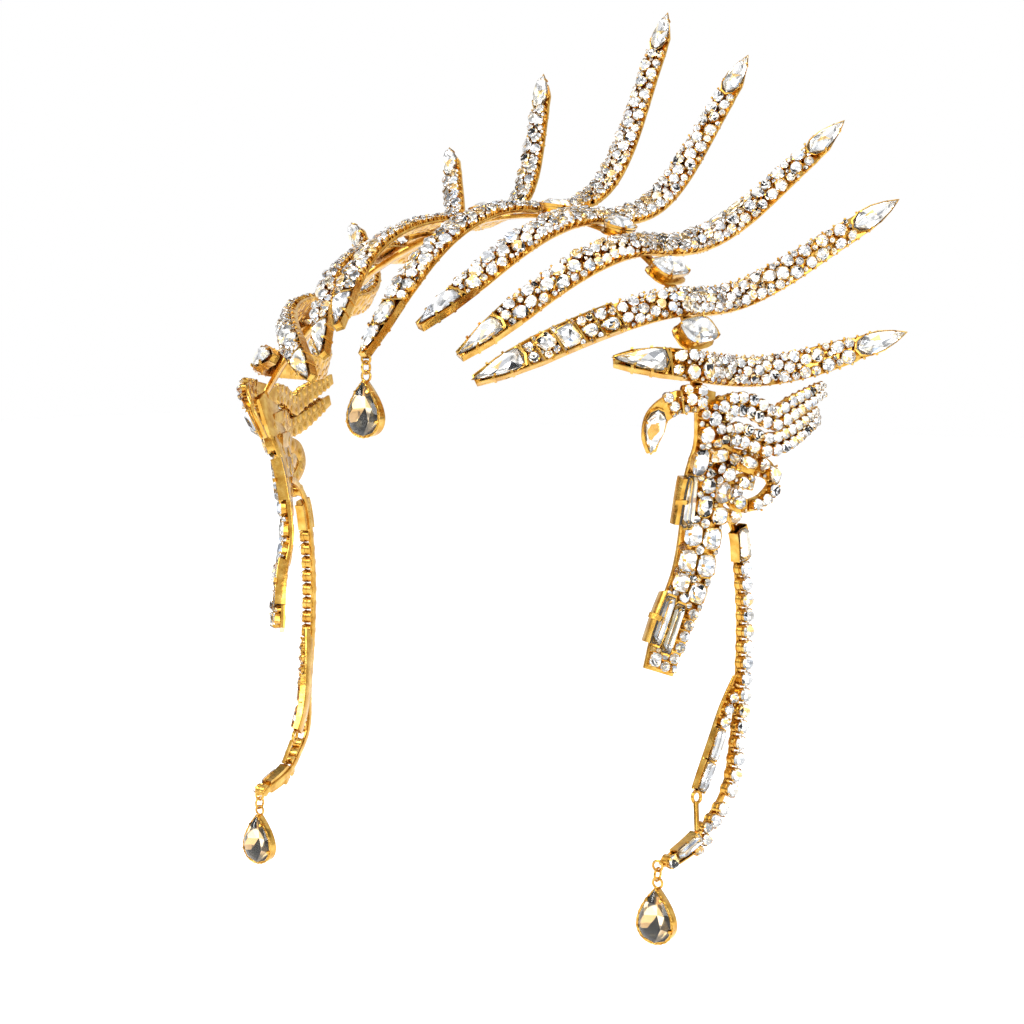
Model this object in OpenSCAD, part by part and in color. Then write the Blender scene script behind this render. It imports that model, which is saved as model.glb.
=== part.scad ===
// Fringe tiara. Nine stone-set rays cross a headband, each with a finger that lies
// forward over the brow and a spike that sweeps up behind. A cluster hangs at each side,
// and three pear drops swing on jump rings.
// X runs to the wearer's left, Y to the back and Z up. The origin is the point where the
// crown of the headband rests on the head. All sizes are in millimetres.

/* [Headband] */
// Radius of the headband's arc, to the middle of the strip
band_r = 97; // [90:0.5:104]
// Lean of the arc's crown towards the back, in degrees
band_lean = 31; // [26:1:35]
// Angle from the crown to each end of the strip
band_end = 80; // [78:0.5:83]
// Width of the strip
band_w = 4.6; // [3.4:0.1:6]
// Thickness of the strip
band_t = 1.6; // [1:0.1:2.4]
// Height of a collet, the box that a headband stone sits on
collet_h = 4.6; // [3.4:0.1:6]
// Length of a headband stone, front to back
collet_l = 17; // [13:0.5:20]
// Width of a headband stone
collet_w = 10.5; // [8:0.25:12]

/* [Rays] */
// How far the centre ray reaches forward of the headband
front_reach = 96; // [90:0.5:102]
// How far the centre ray's front tip lies below the crown
front_drop = 55; // [50:0.5:60]
// How far the centre ray's spike reaches behind the headband
rear_reach = 119; // [108:0.5:128]
// How far the centre ray's spike rises above the crown
rear_rise = 90.5; // [80:0.5:104]
// Width of a ray
ray_w = 11; // [9:0.1:12.5]
// Thickness of a ray's channel
ray_t = 2.8; // [2:0.1:3.6]
// Length of the pointed stone that ends each spike
tip_l = 19; // [15:0.5:22]
// Width of that stone
tip_w = 8.2; // [6.5:0.1:9.5]

/* [Side clusters] */
// How far a side cluster's long limb hangs below the end of the headband
long_drop = 160; // [145:1:175]
// How far the long limb stands behind the end of the headband
long_back = 32; // [28:0.5:36]
// How far the long limb bulges outwards
long_out = 7; // [5:0.5:9]
// Width of the long limb
long_w = 7; // [5.5:0.1:8]
// How far the short limb hangs below the end of the headband
short_drop = 94; // [86:0.5:102]
// How far the short limb's tip leans in
short_out = 13; // [10:0.5:16]
// How far the short limb sweeps back at its top
short_back = 10; // [8:0.5:12]
// Width of the short limb
short_w = 14; // [11:0.25:16]
// How far the wings reach behind the end of the headband
wing_back = 66; // [60:0.5:72]
// How far the wings spread outwards
wing_out = 16; // [13:0.5:19]
// Height of a wing above the next one at its root, as a unit for all their heights
wing_step = 5; // [4.6:0.1:5.6]
// Width of a wing
wing_w = 7.6; // [6.6:0.1:8.2]
// How far the hook reaches forward of the end of the headband
hook_reach = 13.5; // [12:0.25:16]
// How far the hook turns in towards the head
hook_in = 12.5; // [11:0.25:14]
// How far the hook turns down
hook_drop = 15.5; // [13.5:0.25:18]
// Width of the hook
hook_w = 8; // [6.5:0.1:9.5]
// Thickness of the cluster's channels
limb_t = 2.6; // [2:0.1:3.2]
// How much thicker the stem is than the channels that grow out of it, above and below
stem_proud = 0.6; // [0.4:0.05:0.9]

/* [Drops] */
// Width of a drop's setting
drop_w = 14.5; // [12.5:0.25:17]
// Height of a drop's setting
drop_h = 20; // [17:0.25:23]
// Depth of a drop's setting
drop_t = 4; // [3:0.1:5]
// Radius of a jump ring, to the middle of its wire
link_r = 2.2; // [2:0.05:2.6]
// Radius of the fixed eyes, to the middle of their wire
eye_r = 1.8; // [1.7:0.05:2.2]
// Radius of the wire of the rings and eyes
wire_r = 0.45; // [0.35:0.05:0.5]
// Play between a ring and the eye that it hangs in
link_gap = 0.1; // [0.1:0.05:0.2]

/* [Stones] */
// Height of the set stones above their girdle
stone_rise = 2; // [1.4:0.1:2.6]
// Metal left showing beside a stone, on each side
stone_rim = 0.6; // [0.4:0.05:0.9]
// Gap between neighbouring pieces
fit_gap = 0.2; // [0.15:0.05:0.3]

/* [Hidden] */

GOLD = [0.86, 0.66, 0.26];
CRYSTAL = [0.88, 0.9, 0.93];
CHAMPAGNE = [0.8, 0.68, 0.5];

// Rays from the centre outwards. Columns: angle on the headband, front reach, front
// drop, front lean to the side, front bow to the side, rear reach, rear rise, rear lean
// to the side. Reaches, leans and bows are shares of the centre ray's reaches, and the
// drop and the rise are shares of its own.
RAY = [
    [0, 1, 1, -0.04, 0, 1, 1, 0],
    [18.4, 0.94, 0.79, 0, 0.06, 0.83, 0.79, -0.045],
    [35.5, 0.8, 0.89, 0, 0.02, 0.825, 0.69, 0],
    [55.5, 0.665, 0.98, -0.045, 0, 0.69, 0.655, -0.05],
    [72.5, 0.26, 0.35, -0.085, 0, 0.655, 0.49, 0.01],
];
// Bend of the finger: first handle's reach, second handle's reach, second handle's drop
FINGER = [0.54, 0.79, 0.57];
// Bend of the spike: first handle's reach, second handle's reach, second handle's rise
SPIKE = [0.62, 0.61, 0.25];
// A ray's width. Columns: share of its length from the front tip, share of the width
RAY_WIDTH = [[0, 0.3], [0.05, 0.7], [0.12, 0.95], [0.3, 1], [0.75, 0.95], [0.88, 0.8]];

// Side strips, from their root to their tip. Columns: outwards, backwards and upwards
// from the end of the headband, share of the width, and the turn of the stones' face
// towards the front, in degrees. The first three are shares of the strip's own lengths.
SHORT = [
    [0.12, 0.3, 0, 0.9, 20], [0.03, 0.9, -0.15, 1.25, 20], [-0.25, 1.1, -0.3, 1.25, 25],
    [-0.4, 1.1, -0.48, 1.1, 30], [-0.55, 0.9, -0.65, 1.05, 35], [-0.75, 0.1, -0.82, 1, 35],
    [-1, -0.4, -1, 0.8, 35],
];
LONG = [
    [-0.62, 0.35, -0.22, 1, 20], [-0.05, 0.64, -0.24, 1, 10], [0.15, 0.86, -0.29, 1, -10],
    [0.15, 0.94, -0.37, 1, -25], [0.25, 1, -0.5, 1, -30], [0.25, 0.97, -0.64, 1, -20],
    [0.15, 0.88, -0.77, 1, -10], [-0.05, 0.8, -0.87, 1, 0], [-0.3, 0.55, -0.94, 0.95, 10],
    [-0.65, 0.2, -0.985, 0.9, 15], [-1, -0.42, -1, 0.45, 20],
];
BRANCH = [
    [0.08, 0.92, -0.62, 0.7, 0], [-0.35, 0.8, -0.69, 0.75, 10], [-0.7, 0.68, -0.77, 0.8, 15],
    [-0.9, 0.55, -0.83, 0.8, 20], [-1, 0.42, -0.87, 0.7, 20],
];
WING_A = [
    [0.08, 0.09, -0.6, 0.9, 20], [0.23, 0.24, -0.2, 1, 18], [0.42, 0.36, -0.4, 1, 15],
    [0.65, 0.52, -1.3, 1, 15], [0.8, 0.66, -0.6, 1, 12], [1, 1, 0.8, 0.6, 10],
];
WING_B = [
    [0.02, 0.13, -2.4, 0.9, 20], [0.23, 0.29, -2.3, 1, 18], [0.62, 0.45, -3.1, 1, 15],
    [0.8, 0.65, -2.6, 1, 12], [0.96, 0.96, -1, 0.6, 10],
];
WING_C = [
    [-0.15, 0.155, -4, 0.9, 20], [0.14, 0.3, -4.05, 1, 18], [0.45, 0.4, -4.5, 1, 15],
    [0.58, 0.52, -5, 0.9, 12], [0.6, 0.56, -6.1, 0.75, 8], [0.5, 0.48, -7.1, 0.7, 8],
    [0.38, 0.38, -7.4, 0.6, 10],
];
HOOK = [
    [0.16, 0.4, 0, 0.9, 20], [0, -0.25, 0.05, 1, 22], [-0.3, -0.85, 0, 1, 28],
    [-0.7, -1.1, -0.3, 1, 35], [-0.9, -1, -0.7, 0.9, 40], [-1, -0.85, -1.05, 0.45, 40],
];

// Stones along the centre ray, and along each side strip
ray_stones = 16;
short_stones = 6;
long_stones = 12;
branch_stones = 2;
wing_stones = [5, 5, 4];
// A set stone's share of its pitch, a table's share of a stone's width, and a cut
// corner's share of a cushion stone's shorter side
stone_share = 0.68;
table_share = 0.6;
corner_share = 0.22;
// Length of the hook's stone for the hook's width, and height of a drop's stone for that
// of the others
hook_long = 1.6;
drop_proud = 1.5;
// Narrowing of a spike towards its point, and the least share of the width that is left
tip_taper = 1.6;
tip_least = 0.2;
// Corners of the outline of a small stone, of a large one and of a drop's setting
small_sides = 10;
large_sides = 16;
setting_sides = 24;
// Rings of corners along a ray's metal, and for each row of a side strip's table
ray_rings = 49;
row_rings = 3;
// Points on the curve of a finger or a spike, and for each row of a side strip's table
ray_steps = 12;
row_steps = 4;
// Bare metal before the first stone of a ray and at the end of a side strip
ray_start = 3;
strip_end = 1;
// Where the stones of the wings start, as a share of the stem's width
wing_clear = 0.75;
// Distance before and after a point on a strip from which its direction is taken
travel_step = 0.5;

// The clusters start on the outer side of the headband's ends
root_face = [cos(SHORT[0][4]), -sin(SHORT[0][4]), 0];
ear_lift = band_t / 2 * (arc_out(band_end) * root_face) + fit_gap
    + band_w / 2 * abs(cross(arc_out(band_end), arc_along(band_end)) * root_face);
ear = on_arc(band_end) + ear_lift * root_face;
hinge_front = ray_place(0, ray_path(0)[0]) - [0, 0, eye_r];
hinge_side = ear + limb_tip(LONG, [long_out, long_back, long_drop]) - [0, 0, eye_r];

function unit(v) = v / norm(v);
function turn_y(a, p) =
    [cos(a) * p[0] + sin(a) * p[2], p[1], cos(a) * p[2] - sin(a) * p[0]];
function turn_x(a, p) =
    [p[0], cos(a) * p[1] - sin(a) * p[2], sin(a) * p[1] + cos(a) * p[2]];
function bezier(a, b, c, d, u) =
    pow(1 - u, 3) * a + 3 * pow(1 - u, 2) * u * b + 3 * (1 - u) * u * u * c + pow(u, 3) * d;

// The middle of the strip at an angle from the crown
function on_arc(a) =
    [0, 0, band_t / 2] + turn_x(-band_lean, turn_y(a, [0, 0, band_r]) - [0, 0, band_r]);
// Directions at that angle: along the strip, and square to its outer face
function arc_along(a) = turn_x(-band_lean, turn_y(a, [1, 0, 0]));
function arc_out(a) = turn_x(-band_lean, turn_y(a, turn_x(band_lean, [0, 0, 1])));

// Height of a ray's underside over the middle of the strip, so that it clears the
// strip's edges where the two are not quite parallel
function ray_lift(a) =
    let (out = turn_y(a, [0, 0, 1]), across = cross(arc_out(a), arc_along(a)))
    band_t / 2 + fit_gap + band_w / 2 * abs(across * out)
        + ray_w / 2 * abs(arc_along(a) * out);

// A ray's underside, from front tip to rear tip, before it is turned to its place:
// sideways, backwards and outwards
function ray_path(k) =
    let (
        q = RAY[k], fr = q[1] * front_reach, fd = q[2] * front_drop,
        rr = q[5] * rear_reach, up = q[6] * rear_rise, bow = q[4] * front_reach,
        tip = [q[3] * front_reach, -fr, -fd], end = [q[7] * rear_reach, rr, up],
        seat = [0, 0, 0]
    )
    concat(
        [for (i = [0 : ray_steps - 1])
            bezier(tip, [0.6 * tip[0] + bow, -FINGER[1] * fr, -FINGER[2] * fd],
                [bow, -FINGER[0] * fr, 0], seat, i / ray_steps)],
        [for (i = [0 : ray_steps])
            bezier(seat, [0, SPIKE[0] * rr, 0],
                [0.5 * end[0], SPIKE[1] * rr, SPIKE[2] * up], end, i / ray_steps)]
    );
function ray_place(k, p) =
    let (a = RAY[k][0]) on_arc(a) + turn_y(a, p + [0, 0, ray_lift(a)]);

// Distances along a list of points
function stations(p) = [
    for (i = 0, s = 0; i < len(p); i = i + 1, s = s + (i < len(p) ? norm(p[i] - p[i - 1]) : 0)) s
];
function value_at(st, v, s) = lookup(s, [for (i = [0 : len(st) - 1]) [st[i], v[i]]]);
function point_at(st, p, s) = [for (k = [0 : 2]) value_at(st, [for (q = p) q[k]], s)];
function last(v) = v[len(v) - 1];
// Direction of travel at a distance, from points a little before and after it
function travel_at(st, p, s) =
    unit(point_at(st, p, min(s + travel_step, last(st)))
        - point_at(st, p, max(s - travel_step, 0)));

// One piece of set strip: [distances, points, widths, face directions]
function ray_strip(k) =
    let (p = ray_path(k), st = stations(p), full = last(st))
    [st, p, [for (s = st) ray_width(s, full)], [for (q = p) [0, 0, 1]]];
function ray_width(s, full) =
    s > full - tip_l ? tip_w * max(tip_least, min(1, tip_taper * (full - s) / tip_l))
        : ray_w * lookup(s / full, RAY_WIDTH);

// A smooth curve through rows of a table, with the rows' other columns carried along
function smooth(rows, n) = [
    for (i = [0 : len(rows) - 2], j = [0 : n - 1])
        let (
            a = rows[max(i - 1, 0)], b = rows[i], c = rows[i + 1],
            d = rows[min(i + 2, len(rows) - 1)], u = j / n
        )
        0.5 * (2 * b + (c - a) * u + (2 * a - 5 * b + 4 * c - d) * u * u
            + (3 * b - a - 3 * c + d) * u * u * u)
];
function limb_strip(table, sizes, w) =
    let (
        rows = [for (r = table) [r[0] * sizes[0], r[1] * sizes[1], r[2] * sizes[2], r[3] * w, r[4]]],
        fine = concat(smooth(rows, row_steps), [last(rows)]),
        p = [for (r = fine) [r[0], r[1], r[2]]]
    )
    [stations(p), p, [for (r = fine) r[3]], [for (r = fine) [cos(r[4]), -sin(r[4]), 0]]];
function limb_tip(table, sizes) =
    let (r = last(table)) [r[0] * sizes[0], r[1] * sizes[1], r[2] * sizes[2]];

// Place and directions on a strip: [point, travel, side, face]
function seat_at(strip, s) =
    let (
        t = travel_at(strip[0], strip[1], s),
        side = unit(cross(t, point_at(strip[0], strip[3], s)))
    )
    [point_at(strip[0], strip[1], s), t, side, cross(side, t)];

// A strip of metal, square in section, under a run of stones. It starts at a height
// under its stones that is given, and is as thick as t
module metal(strip, t, rings, under = 0) {
    full = last(strip[0]);
    corners = [
        for (i = [0 : rings - 1])
            let (
                s = full * i / (rings - 1), f = seat_at(strip, s),
                h = value_at(strip[0], strip[2], s) / 2
            )
            for (c = [[-h, 0], [h, 0], [h, t], [-h, t]])
                f[0] + c[0] * f[2] + (c[1] + under) * f[3]
    ];
    sides = [
        for (i = [0 : rings - 2], j = [0 : 3])
            let (a = 4 * i + j, b = 4 * i + (j + 1) % 4)
            each [[a, b + 4, a + 4], [a, b, b + 4]]
    ];
    end = 4 * rings - 4;
    polyhedron(corners, concat(sides, [[0, 2, 1], [0, 3, 2],
        [end, end + 1, end + 2], [end, end + 2, end + 3]]));
}

// Outlines of cut stones, long side along Y
function cushion(l, w) =
    let (c = corner_share * min(l, w))
    [
        [w / 2, -l / 2 + c], [w / 2, l / 2 - c], [w / 2 - c, l / 2], [c - w / 2, l / 2],
        [-w / 2, l / 2 - c], [-w / 2, c - l / 2], [c - w / 2, -l / 2], [w / 2 - c, -l / 2]
    ];
function navette(l, w, n) = [
    for (i = [0 : n - 1])
        let (a = 360 * i / n) [w / 2 * sin(a) * pow(abs(sin(a)), 0.35), -l / 2 * cos(a)]
];
function pear(l, w, n) = [
    for (i = [0 : n - 1])
        let (a = 360 * i / n) [-w * 0.65 * sin(a) * sin(a / 2), l / 2 * cos(a)]
];
// A stone with its girdle at the bottom, a ring of crown facets and a flat table
module cut_stone(outline, rise) {
    n = len(outline);
    points = concat([for (p = outline) [p[0], p[1], 0]],
        [for (p = outline) [table_share * p[0], table_share * p[1], rise]]);
    crown = [
        for (i = [0 : n - 1]) let (j = (i + 1) % n) each [[i, n + j, j], [i, n + i, n + j]]
    ];
    polyhedron(points, concat([[for (i = [0 : n - 1]) i]],
        crown, [[for (i = [0 : n - 1]) 2 * n - 1 - i]]));
}

// Carries a stone of length l and width w to a place on a strip. It is lifted until its
// corners clear the metal, which may curve and twist under it
module on_strip(strip, s, l, w, t) {
    f = seat_at(strip, s);
    full = last(strip[0]);
    rises = [
        for (q = [max(s - l / 2, 0), min(s + l / 2, full)], h = [-w / 2, w / 2])
            let (g = seat_at(strip, q)) (g[0] + t * g[3] + h * g[2] - f[0] - t * f[3]) * f[3]
    ];
    up = t + fit_gap + max(0, max(rises));
    at = f[0] + up * f[3];
    multmatrix([
        [f[2][0], f[1][0], f[3][0], at[0]],
        [f[2][1], f[1][1], f[3][1], at[1]],
        [f[2][2], f[1][2], f[3][2], at[2]]
    ]) children();
}
// A run of stones between two distances on a strip
module run_of_stones(strip, t, from, to, count) {
    pitch = (to - from) / count;
    for (i = [0 : count - 1]) {
        s = from + (i + 0.5) * pitch;
        l = stone_share * pitch;
        w = value_at(strip[0], strip[2], s) - 2 * stone_rim;
        on_strip(strip, s, l, w, t) cut_stone(cushion(l, w), stone_rise);
    }
}

module in_ray_place(k) {
    a = RAY[k][0];
    translate(on_arc(a)) rotate([0, a, 0]) translate([0, 0, ray_lift(a)]) children();
}
module ray(k) {
    color(GOLD) in_ray_place(k) metal(ray_strip(k), ray_t, ray_rings);
}
module ray_field(k) {
    strip = ray_strip(k);
    full = last(strip[0]);
    color(CRYSTAL) in_ray_place(k)
        run_of_stones(strip, ray_t, ray_start, full - tip_l - stone_rim, ray_count(full));
}
function ray_count(full) = round(ray_stones * full / last(stations(ray_path(0))));
module tip_stone(k) {
    strip = ray_strip(k);
    color(CRYSTAL) in_ray_place(k)
        on_strip(strip, last(strip[0]) - tip_l / 2, tip_l, tip_w, ray_t)
            cut_stone(pear(tip_l, tip_w, small_sides), stone_rise);
}
module eye(place) {
    translate(place) rotate([90, 0, 0]) rotate_extrude() translate([eye_r, 0]) circle(wire_r);
}
module ray_centre() {
    color(GOLD) union() {
        ray(0);
        eye(hinge_front + [0, 0, eye_r]);
    }
}

// Collets sit midway between two rays
function collet_angle(k) = (RAY[k - 1][0] + RAY[k][0]) / 2;
function collet_outline(k, grow) =
    let (l = collet_l + grow, w = collet_w + grow)
    k == 1 ? pear(l, w, large_sides) : k == 2 ? navette(l, w, large_sides) : cushion(l, w);
// Turn that sets a collet's long side parallel to the rays
function collet_turn(a) =
    -atan2(arc_along(a)[1], cross(arc_out(a), arc_along(a))[1]);
module on_band(a) {
    translate([0, 0, band_t / 2]) rotate([-band_lean, 0, 0]) translate([0, 0, -band_r])
        rotate([0, a, 0]) translate([0, 0, band_r]) rotate([band_lean, 0, 0])
            rotate([0, 0, collet_turn(a)]) children();
}
module headband() {
    color(GOLD) union() {
        translate([0, 0, band_t / 2]) rotate([-band_lean, 0, 0]) translate([0, 0, -band_r])
            rotate([90, 0, 0]) rotate([0, 0, 90 - band_end])
                rotate_extrude(angle = 2 * band_end) translate([band_r, 0])
                    rotate(band_lean) square([band_t, band_w], center = true);
        for (side = [-1, 1], k = [1 : 4])
            on_band(side * collet_angle(k)) translate([0, 0, -band_t / 4])
                linear_extrude(collet_h + band_t / 4)
                    polygon(collet_outline(k, 2 * stone_rim));
    }
}
module band_stone(k) {
    color(CRYSTAL) on_band(collet_angle(k)) translate([0, 0, collet_h + fit_gap])
        cut_stone(collet_outline(k, 0), stone_rise);
}

function long_strip() = limb_strip(LONG, [long_out, long_back, long_drop], long_w);
function branch_strip() = limb_strip(BRANCH, [long_out, long_back, long_drop], long_w);
function short_strip() = limb_strip(SHORT, [short_out, short_back, short_drop], short_w);
function wing_strip(table) = limb_strip(table, [wing_out, wing_back, wing_step], wing_w);
function hook_strip() = limb_strip(HOOK, [hook_in, hook_reach, hook_drop], hook_w);

// Height of a channel's upper face over the underside of the stem
channel_top = limb_t + stem_proud;

module side_frame() {
    color(GOLD) union() {
        translate(ear) {
            metal(short_strip(), limb_t + 2 * stem_proud, row_rings * len(SHORT));
            metal(long_strip(), limb_t, row_rings * len(LONG), stem_proud);
            metal(branch_strip(), limb_t, row_rings * len(BRANCH), stem_proud);
            metal(hook_strip(), limb_t, row_rings * len(HOOK), stem_proud);
            for (table = [WING_A, WING_B, WING_C])
                metal(wing_strip(table), limb_t, row_rings * len(table), stem_proud);
        }
        eye(hinge_side + [0, 0, eye_r]);
    }
}

// A drop hangs from a hinge point, the middle of the wire at the bottom of its fixed eye
ring_down = link_r - 2 * wire_r - link_gap;
neck = ring_down + link_r - 2 * wire_r - link_gap;
pear_down = neck + 2 * eye_r + drop_h / 2 - wire_r;

module jump_ring(place) {
    color(GOLD) translate(place - [0, 0, ring_down]) rotate([0, 90, 0])
        rotate_extrude() translate([link_r, 0]) circle(wire_r);
}
module drop_setting(place) {
    color(GOLD) union() {
        eye(place - [0, 0, neck + eye_r]);
        translate(place - [0, 0, pear_down]) rotate([90, 0, 0])
            linear_extrude(drop_t, center = true)
                polygon(pear(drop_h, drop_w, setting_sides));
    }
}
module drop_stone(place) {
    l = drop_h - 4 * stone_rim;
    w = drop_w - 4 * stone_rim;
    color(CHAMPAGNE) translate(place - [0, drop_t / 2 + fit_gap, pear_down])
        rotate([90, 0, 0]) cut_stone(pear(l, w, large_sides), drop_proud * stone_rise);
}

module mirrored() {
    mirror([1, 0, 0]) children();
}
module upper_stones() {
    wings = [WING_A, WING_B, WING_C];
    color(CRYSTAL) translate(ear)
        for (i = [0 : 2])
            strip_stones(wing_strip(wings[i]), wing_stones[i], channel_top, wing_clear * short_w);
}
module limb_stones() {
    color(CRYSTAL) translate(ear) {
        strip_stones(short_strip(), short_stones, limb_t + 2 * stem_proud, strip_end);
        strip_stones(long_strip(), long_stones, channel_top, short_w);
        strip_stones(branch_strip(), branch_stones, channel_top, long_w / 2);
    }
}
module strip_stones(strip, count, t, start) {
    run_of_stones(strip, t, start, last(strip[0]) - strip_end, count);
}
module hook_stone() {
    strip = hook_strip();
    l = hook_long * hook_w;
    w = hook_w - stone_rim;
    color(CRYSTAL) translate(ear) on_strip(strip, last(strip[0]) - l / 2, l, w, channel_top)
        cut_stone(pear(l, w, small_sides), stone_rise);
}

headband();
ray_centre();
ray(1);  // ray_left_1
ray(2);  // ray_left_2
ray(3);  // ray_left_3
ray(4);  // ray_left_4
mirrored() ray(1);  // ray_right_1
mirrored() ray(2);  // ray_right_2
mirrored() ray(3);  // ray_right_3
mirrored() ray(4);  // ray_right_4
ray_field(0);  // ray_centre_stones
ray_field(1);  // ray_left_1_stones
ray_field(2);  // ray_left_2_stones
ray_field(3);  // ray_left_3_stones
ray_field(4);  // ray_left_4_stones
mirrored() ray_field(1);  // ray_right_1_stones
mirrored() ray_field(2);  // ray_right_2_stones
mirrored() ray_field(3);  // ray_right_3_stones
mirrored() ray_field(4);  // ray_right_4_stones
tip_stone(0);  // tip_stone_centre
tip_stone(1);  // tip_stone_left_1
tip_stone(2);  // tip_stone_left_2
tip_stone(3);  // tip_stone_left_3
tip_stone(4);  // tip_stone_left_4
mirrored() tip_stone(1);  // tip_stone_right_1
mirrored() tip_stone(2);  // tip_stone_right_2
mirrored() tip_stone(3);  // tip_stone_right_3
mirrored() tip_stone(4);  // tip_stone_right_4
band_stone(1);  // band_stone_left_1
band_stone(2);  // band_stone_left_2
band_stone(3);  // band_stone_left_3
band_stone(4);  // band_stone_left_4
mirrored() band_stone(1);  // band_stone_right_1
mirrored() band_stone(2);  // band_stone_right_2
mirrored() band_stone(3);  // band_stone_right_3
mirrored() band_stone(4);  // band_stone_right_4
side_frame();  // side_frame_left
mirrored() side_frame();  // side_frame_right
upper_stones();  // upper_stones_left
mirrored() upper_stones();  // upper_stones_right
limb_stones();  // limb_stones_left
mirrored() limb_stones();  // limb_stones_right
hook_stone();  // hook_stone_left
mirrored() hook_stone();  // hook_stone_right
drop_setting(hinge_front);  // drop_setting_front
drop_setting(hinge_side);  // drop_setting_left
mirrored() drop_setting(hinge_side);  // drop_setting_right
drop_stone(hinge_front);  // drop_stone_front
drop_stone(hinge_side);  // drop_stone_left
mirrored() drop_stone(hinge_side);  // drop_stone_right
jump_ring(hinge_front);  // jump_ring_front
jump_ring(hinge_side);  // jump_ring_left
mirrored() jump_ring(hinge_side);  // jump_ring_right
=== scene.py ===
import bpy
import numpy as np
from mathutils import Matrix


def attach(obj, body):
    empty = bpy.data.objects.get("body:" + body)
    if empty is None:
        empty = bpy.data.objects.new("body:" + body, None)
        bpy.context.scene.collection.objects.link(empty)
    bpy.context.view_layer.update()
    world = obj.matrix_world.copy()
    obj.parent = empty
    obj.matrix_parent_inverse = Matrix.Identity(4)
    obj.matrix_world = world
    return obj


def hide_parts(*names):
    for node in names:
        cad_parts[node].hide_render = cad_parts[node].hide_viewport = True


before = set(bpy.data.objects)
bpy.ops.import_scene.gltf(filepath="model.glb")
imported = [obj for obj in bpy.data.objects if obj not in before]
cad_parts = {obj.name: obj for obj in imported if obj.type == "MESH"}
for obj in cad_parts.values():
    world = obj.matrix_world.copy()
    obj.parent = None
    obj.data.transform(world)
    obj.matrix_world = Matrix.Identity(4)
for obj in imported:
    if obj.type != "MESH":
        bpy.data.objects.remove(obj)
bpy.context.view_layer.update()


# Camera
# It stands to the wearer's left front at the height of the temples, 0.7 m from the piece,
# and looks level with the brow, a little downwards.
camera_aim = np.array([0.00202, -0.01172, -0.11295])
camera_azimuth = np.radians(32.7)
camera_elevation = np.radians(5.5)
camera_distance = 0.7


def unit(vectors):
    """Vectors made one long: each divided by its own length."""
    return vectors / np.linalg.norm(vectors, axis=-1, keepdims=True)


def pose_at(spot, back):
    """A level pose at a spot, with its back turned a given way. Its right is square to the
    upright and to that way, and its up is square to both."""
    right = unit(np.cross([0, 0, 1], back))
    pose = np.eye(4)
    pose[:3, :3] = np.stack([right, np.cross(back, right), back], 1)
    pose[:3, 3] = spot
    return Matrix(pose)


camera_back = np.array([
    np.sin(camera_azimuth) * np.cos(camera_elevation),
    -np.cos(camera_azimuth) * np.cos(camera_elevation), np.sin(camera_elevation),
])
camera = bpy.data.objects.new("camera", bpy.data.cameras.new("camera"))
camera.data.lens = 63.74
camera.data.sensor_width = 36
camera.matrix_world = pose_at(camera_aim + camera_distance * camera_back, camera_back)
bpy.context.scene.collection.objects.link(camera)
bpy.context.scene.camera = camera


# Headband
# A flat strip of brass, bent to an arc that leans back from ear to ear over the crown.
# It is filed round at its edges, polished and gold plated, and carries everything else.
band_radius = 0.097
band_lean = np.radians(31)
band_end = 80
band_width = 0.0046
band_thick = 0.0016
band_edge = 0.0003
fit_gap = 0.0002
thinnest = 0.0001
band_stations = 97


def turn_y(degrees, points):
    """Points turned about Y: x takes cos x + sin z, and z takes cos z - sin x."""
    a = np.radians(degrees)
    x, y, z = np.moveaxis(np.asarray(points, float), -1, 0)
    return np.stack([np.cos(a) * x + np.sin(a) * z, y + 0 * a, np.cos(a) * z - np.sin(a) * x], -1)


def lean_back(points):
    """Points turned about X by the headband's lean, so that what points up points back."""
    x, y, z = np.moveaxis(np.asarray(points, float), -1, 0)
    c, s = np.cos(band_lean), np.sin(band_lean)
    return np.stack([x, c * y + s * z, c * z - s * y], -1)


def on_arc(degrees):
    """The middle of the strip: a circle about Y through the origin, leaned back about it."""
    top = np.array([0, 0, band_radius])
    return np.array([0, 0, band_thick / 2]) + lean_back(turn_y(degrees, top) - top)


def arc_along(degrees):
    """The way the strip runs at an angle from the crown."""
    return lean_back(turn_y(degrees, [1, 0, 0]))


def arc_out(degrees):
    """The way the strip's outer face looks: up at the crown, and outwards at the ears."""
    c, s = np.cos(band_lean), np.sin(band_lean)
    return lean_back(turn_y(degrees, [0, -s, c]))


def strip(points, facing, half):
    """A path to lay metal and stones on. Its travel is the slope of its points, its side is
    square to the travel and to the way it faces, and out is square to both."""
    along = unit(np.gradient(points, axis=0))
    side = unit(np.cross(along, facing))
    steps = np.linalg.norm(np.diff(points, axis=0), axis=1)
    return {
        "s": np.concatenate([[0], np.cumsum(steps)]), "place": points, "half": half,
        "side": side, "along": along, "out": np.cross(side, along),
    }


def ring_quads(rows, n, closed=False):
    """Quads between rings of n corners: a corner, the same one on the next ring, and the two
    that follow them on their rings. A closed row joins its last ring to its first."""
    i, j = np.meshgrid(np.arange(rows if closed else rows - 1), np.arange(n), indexing="ij")
    m, k = (i + 1) % rows, (j + 1) % n
    return np.stack([i * n + j, m * n + j, m * n + k, i * n + k], -1)


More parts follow.
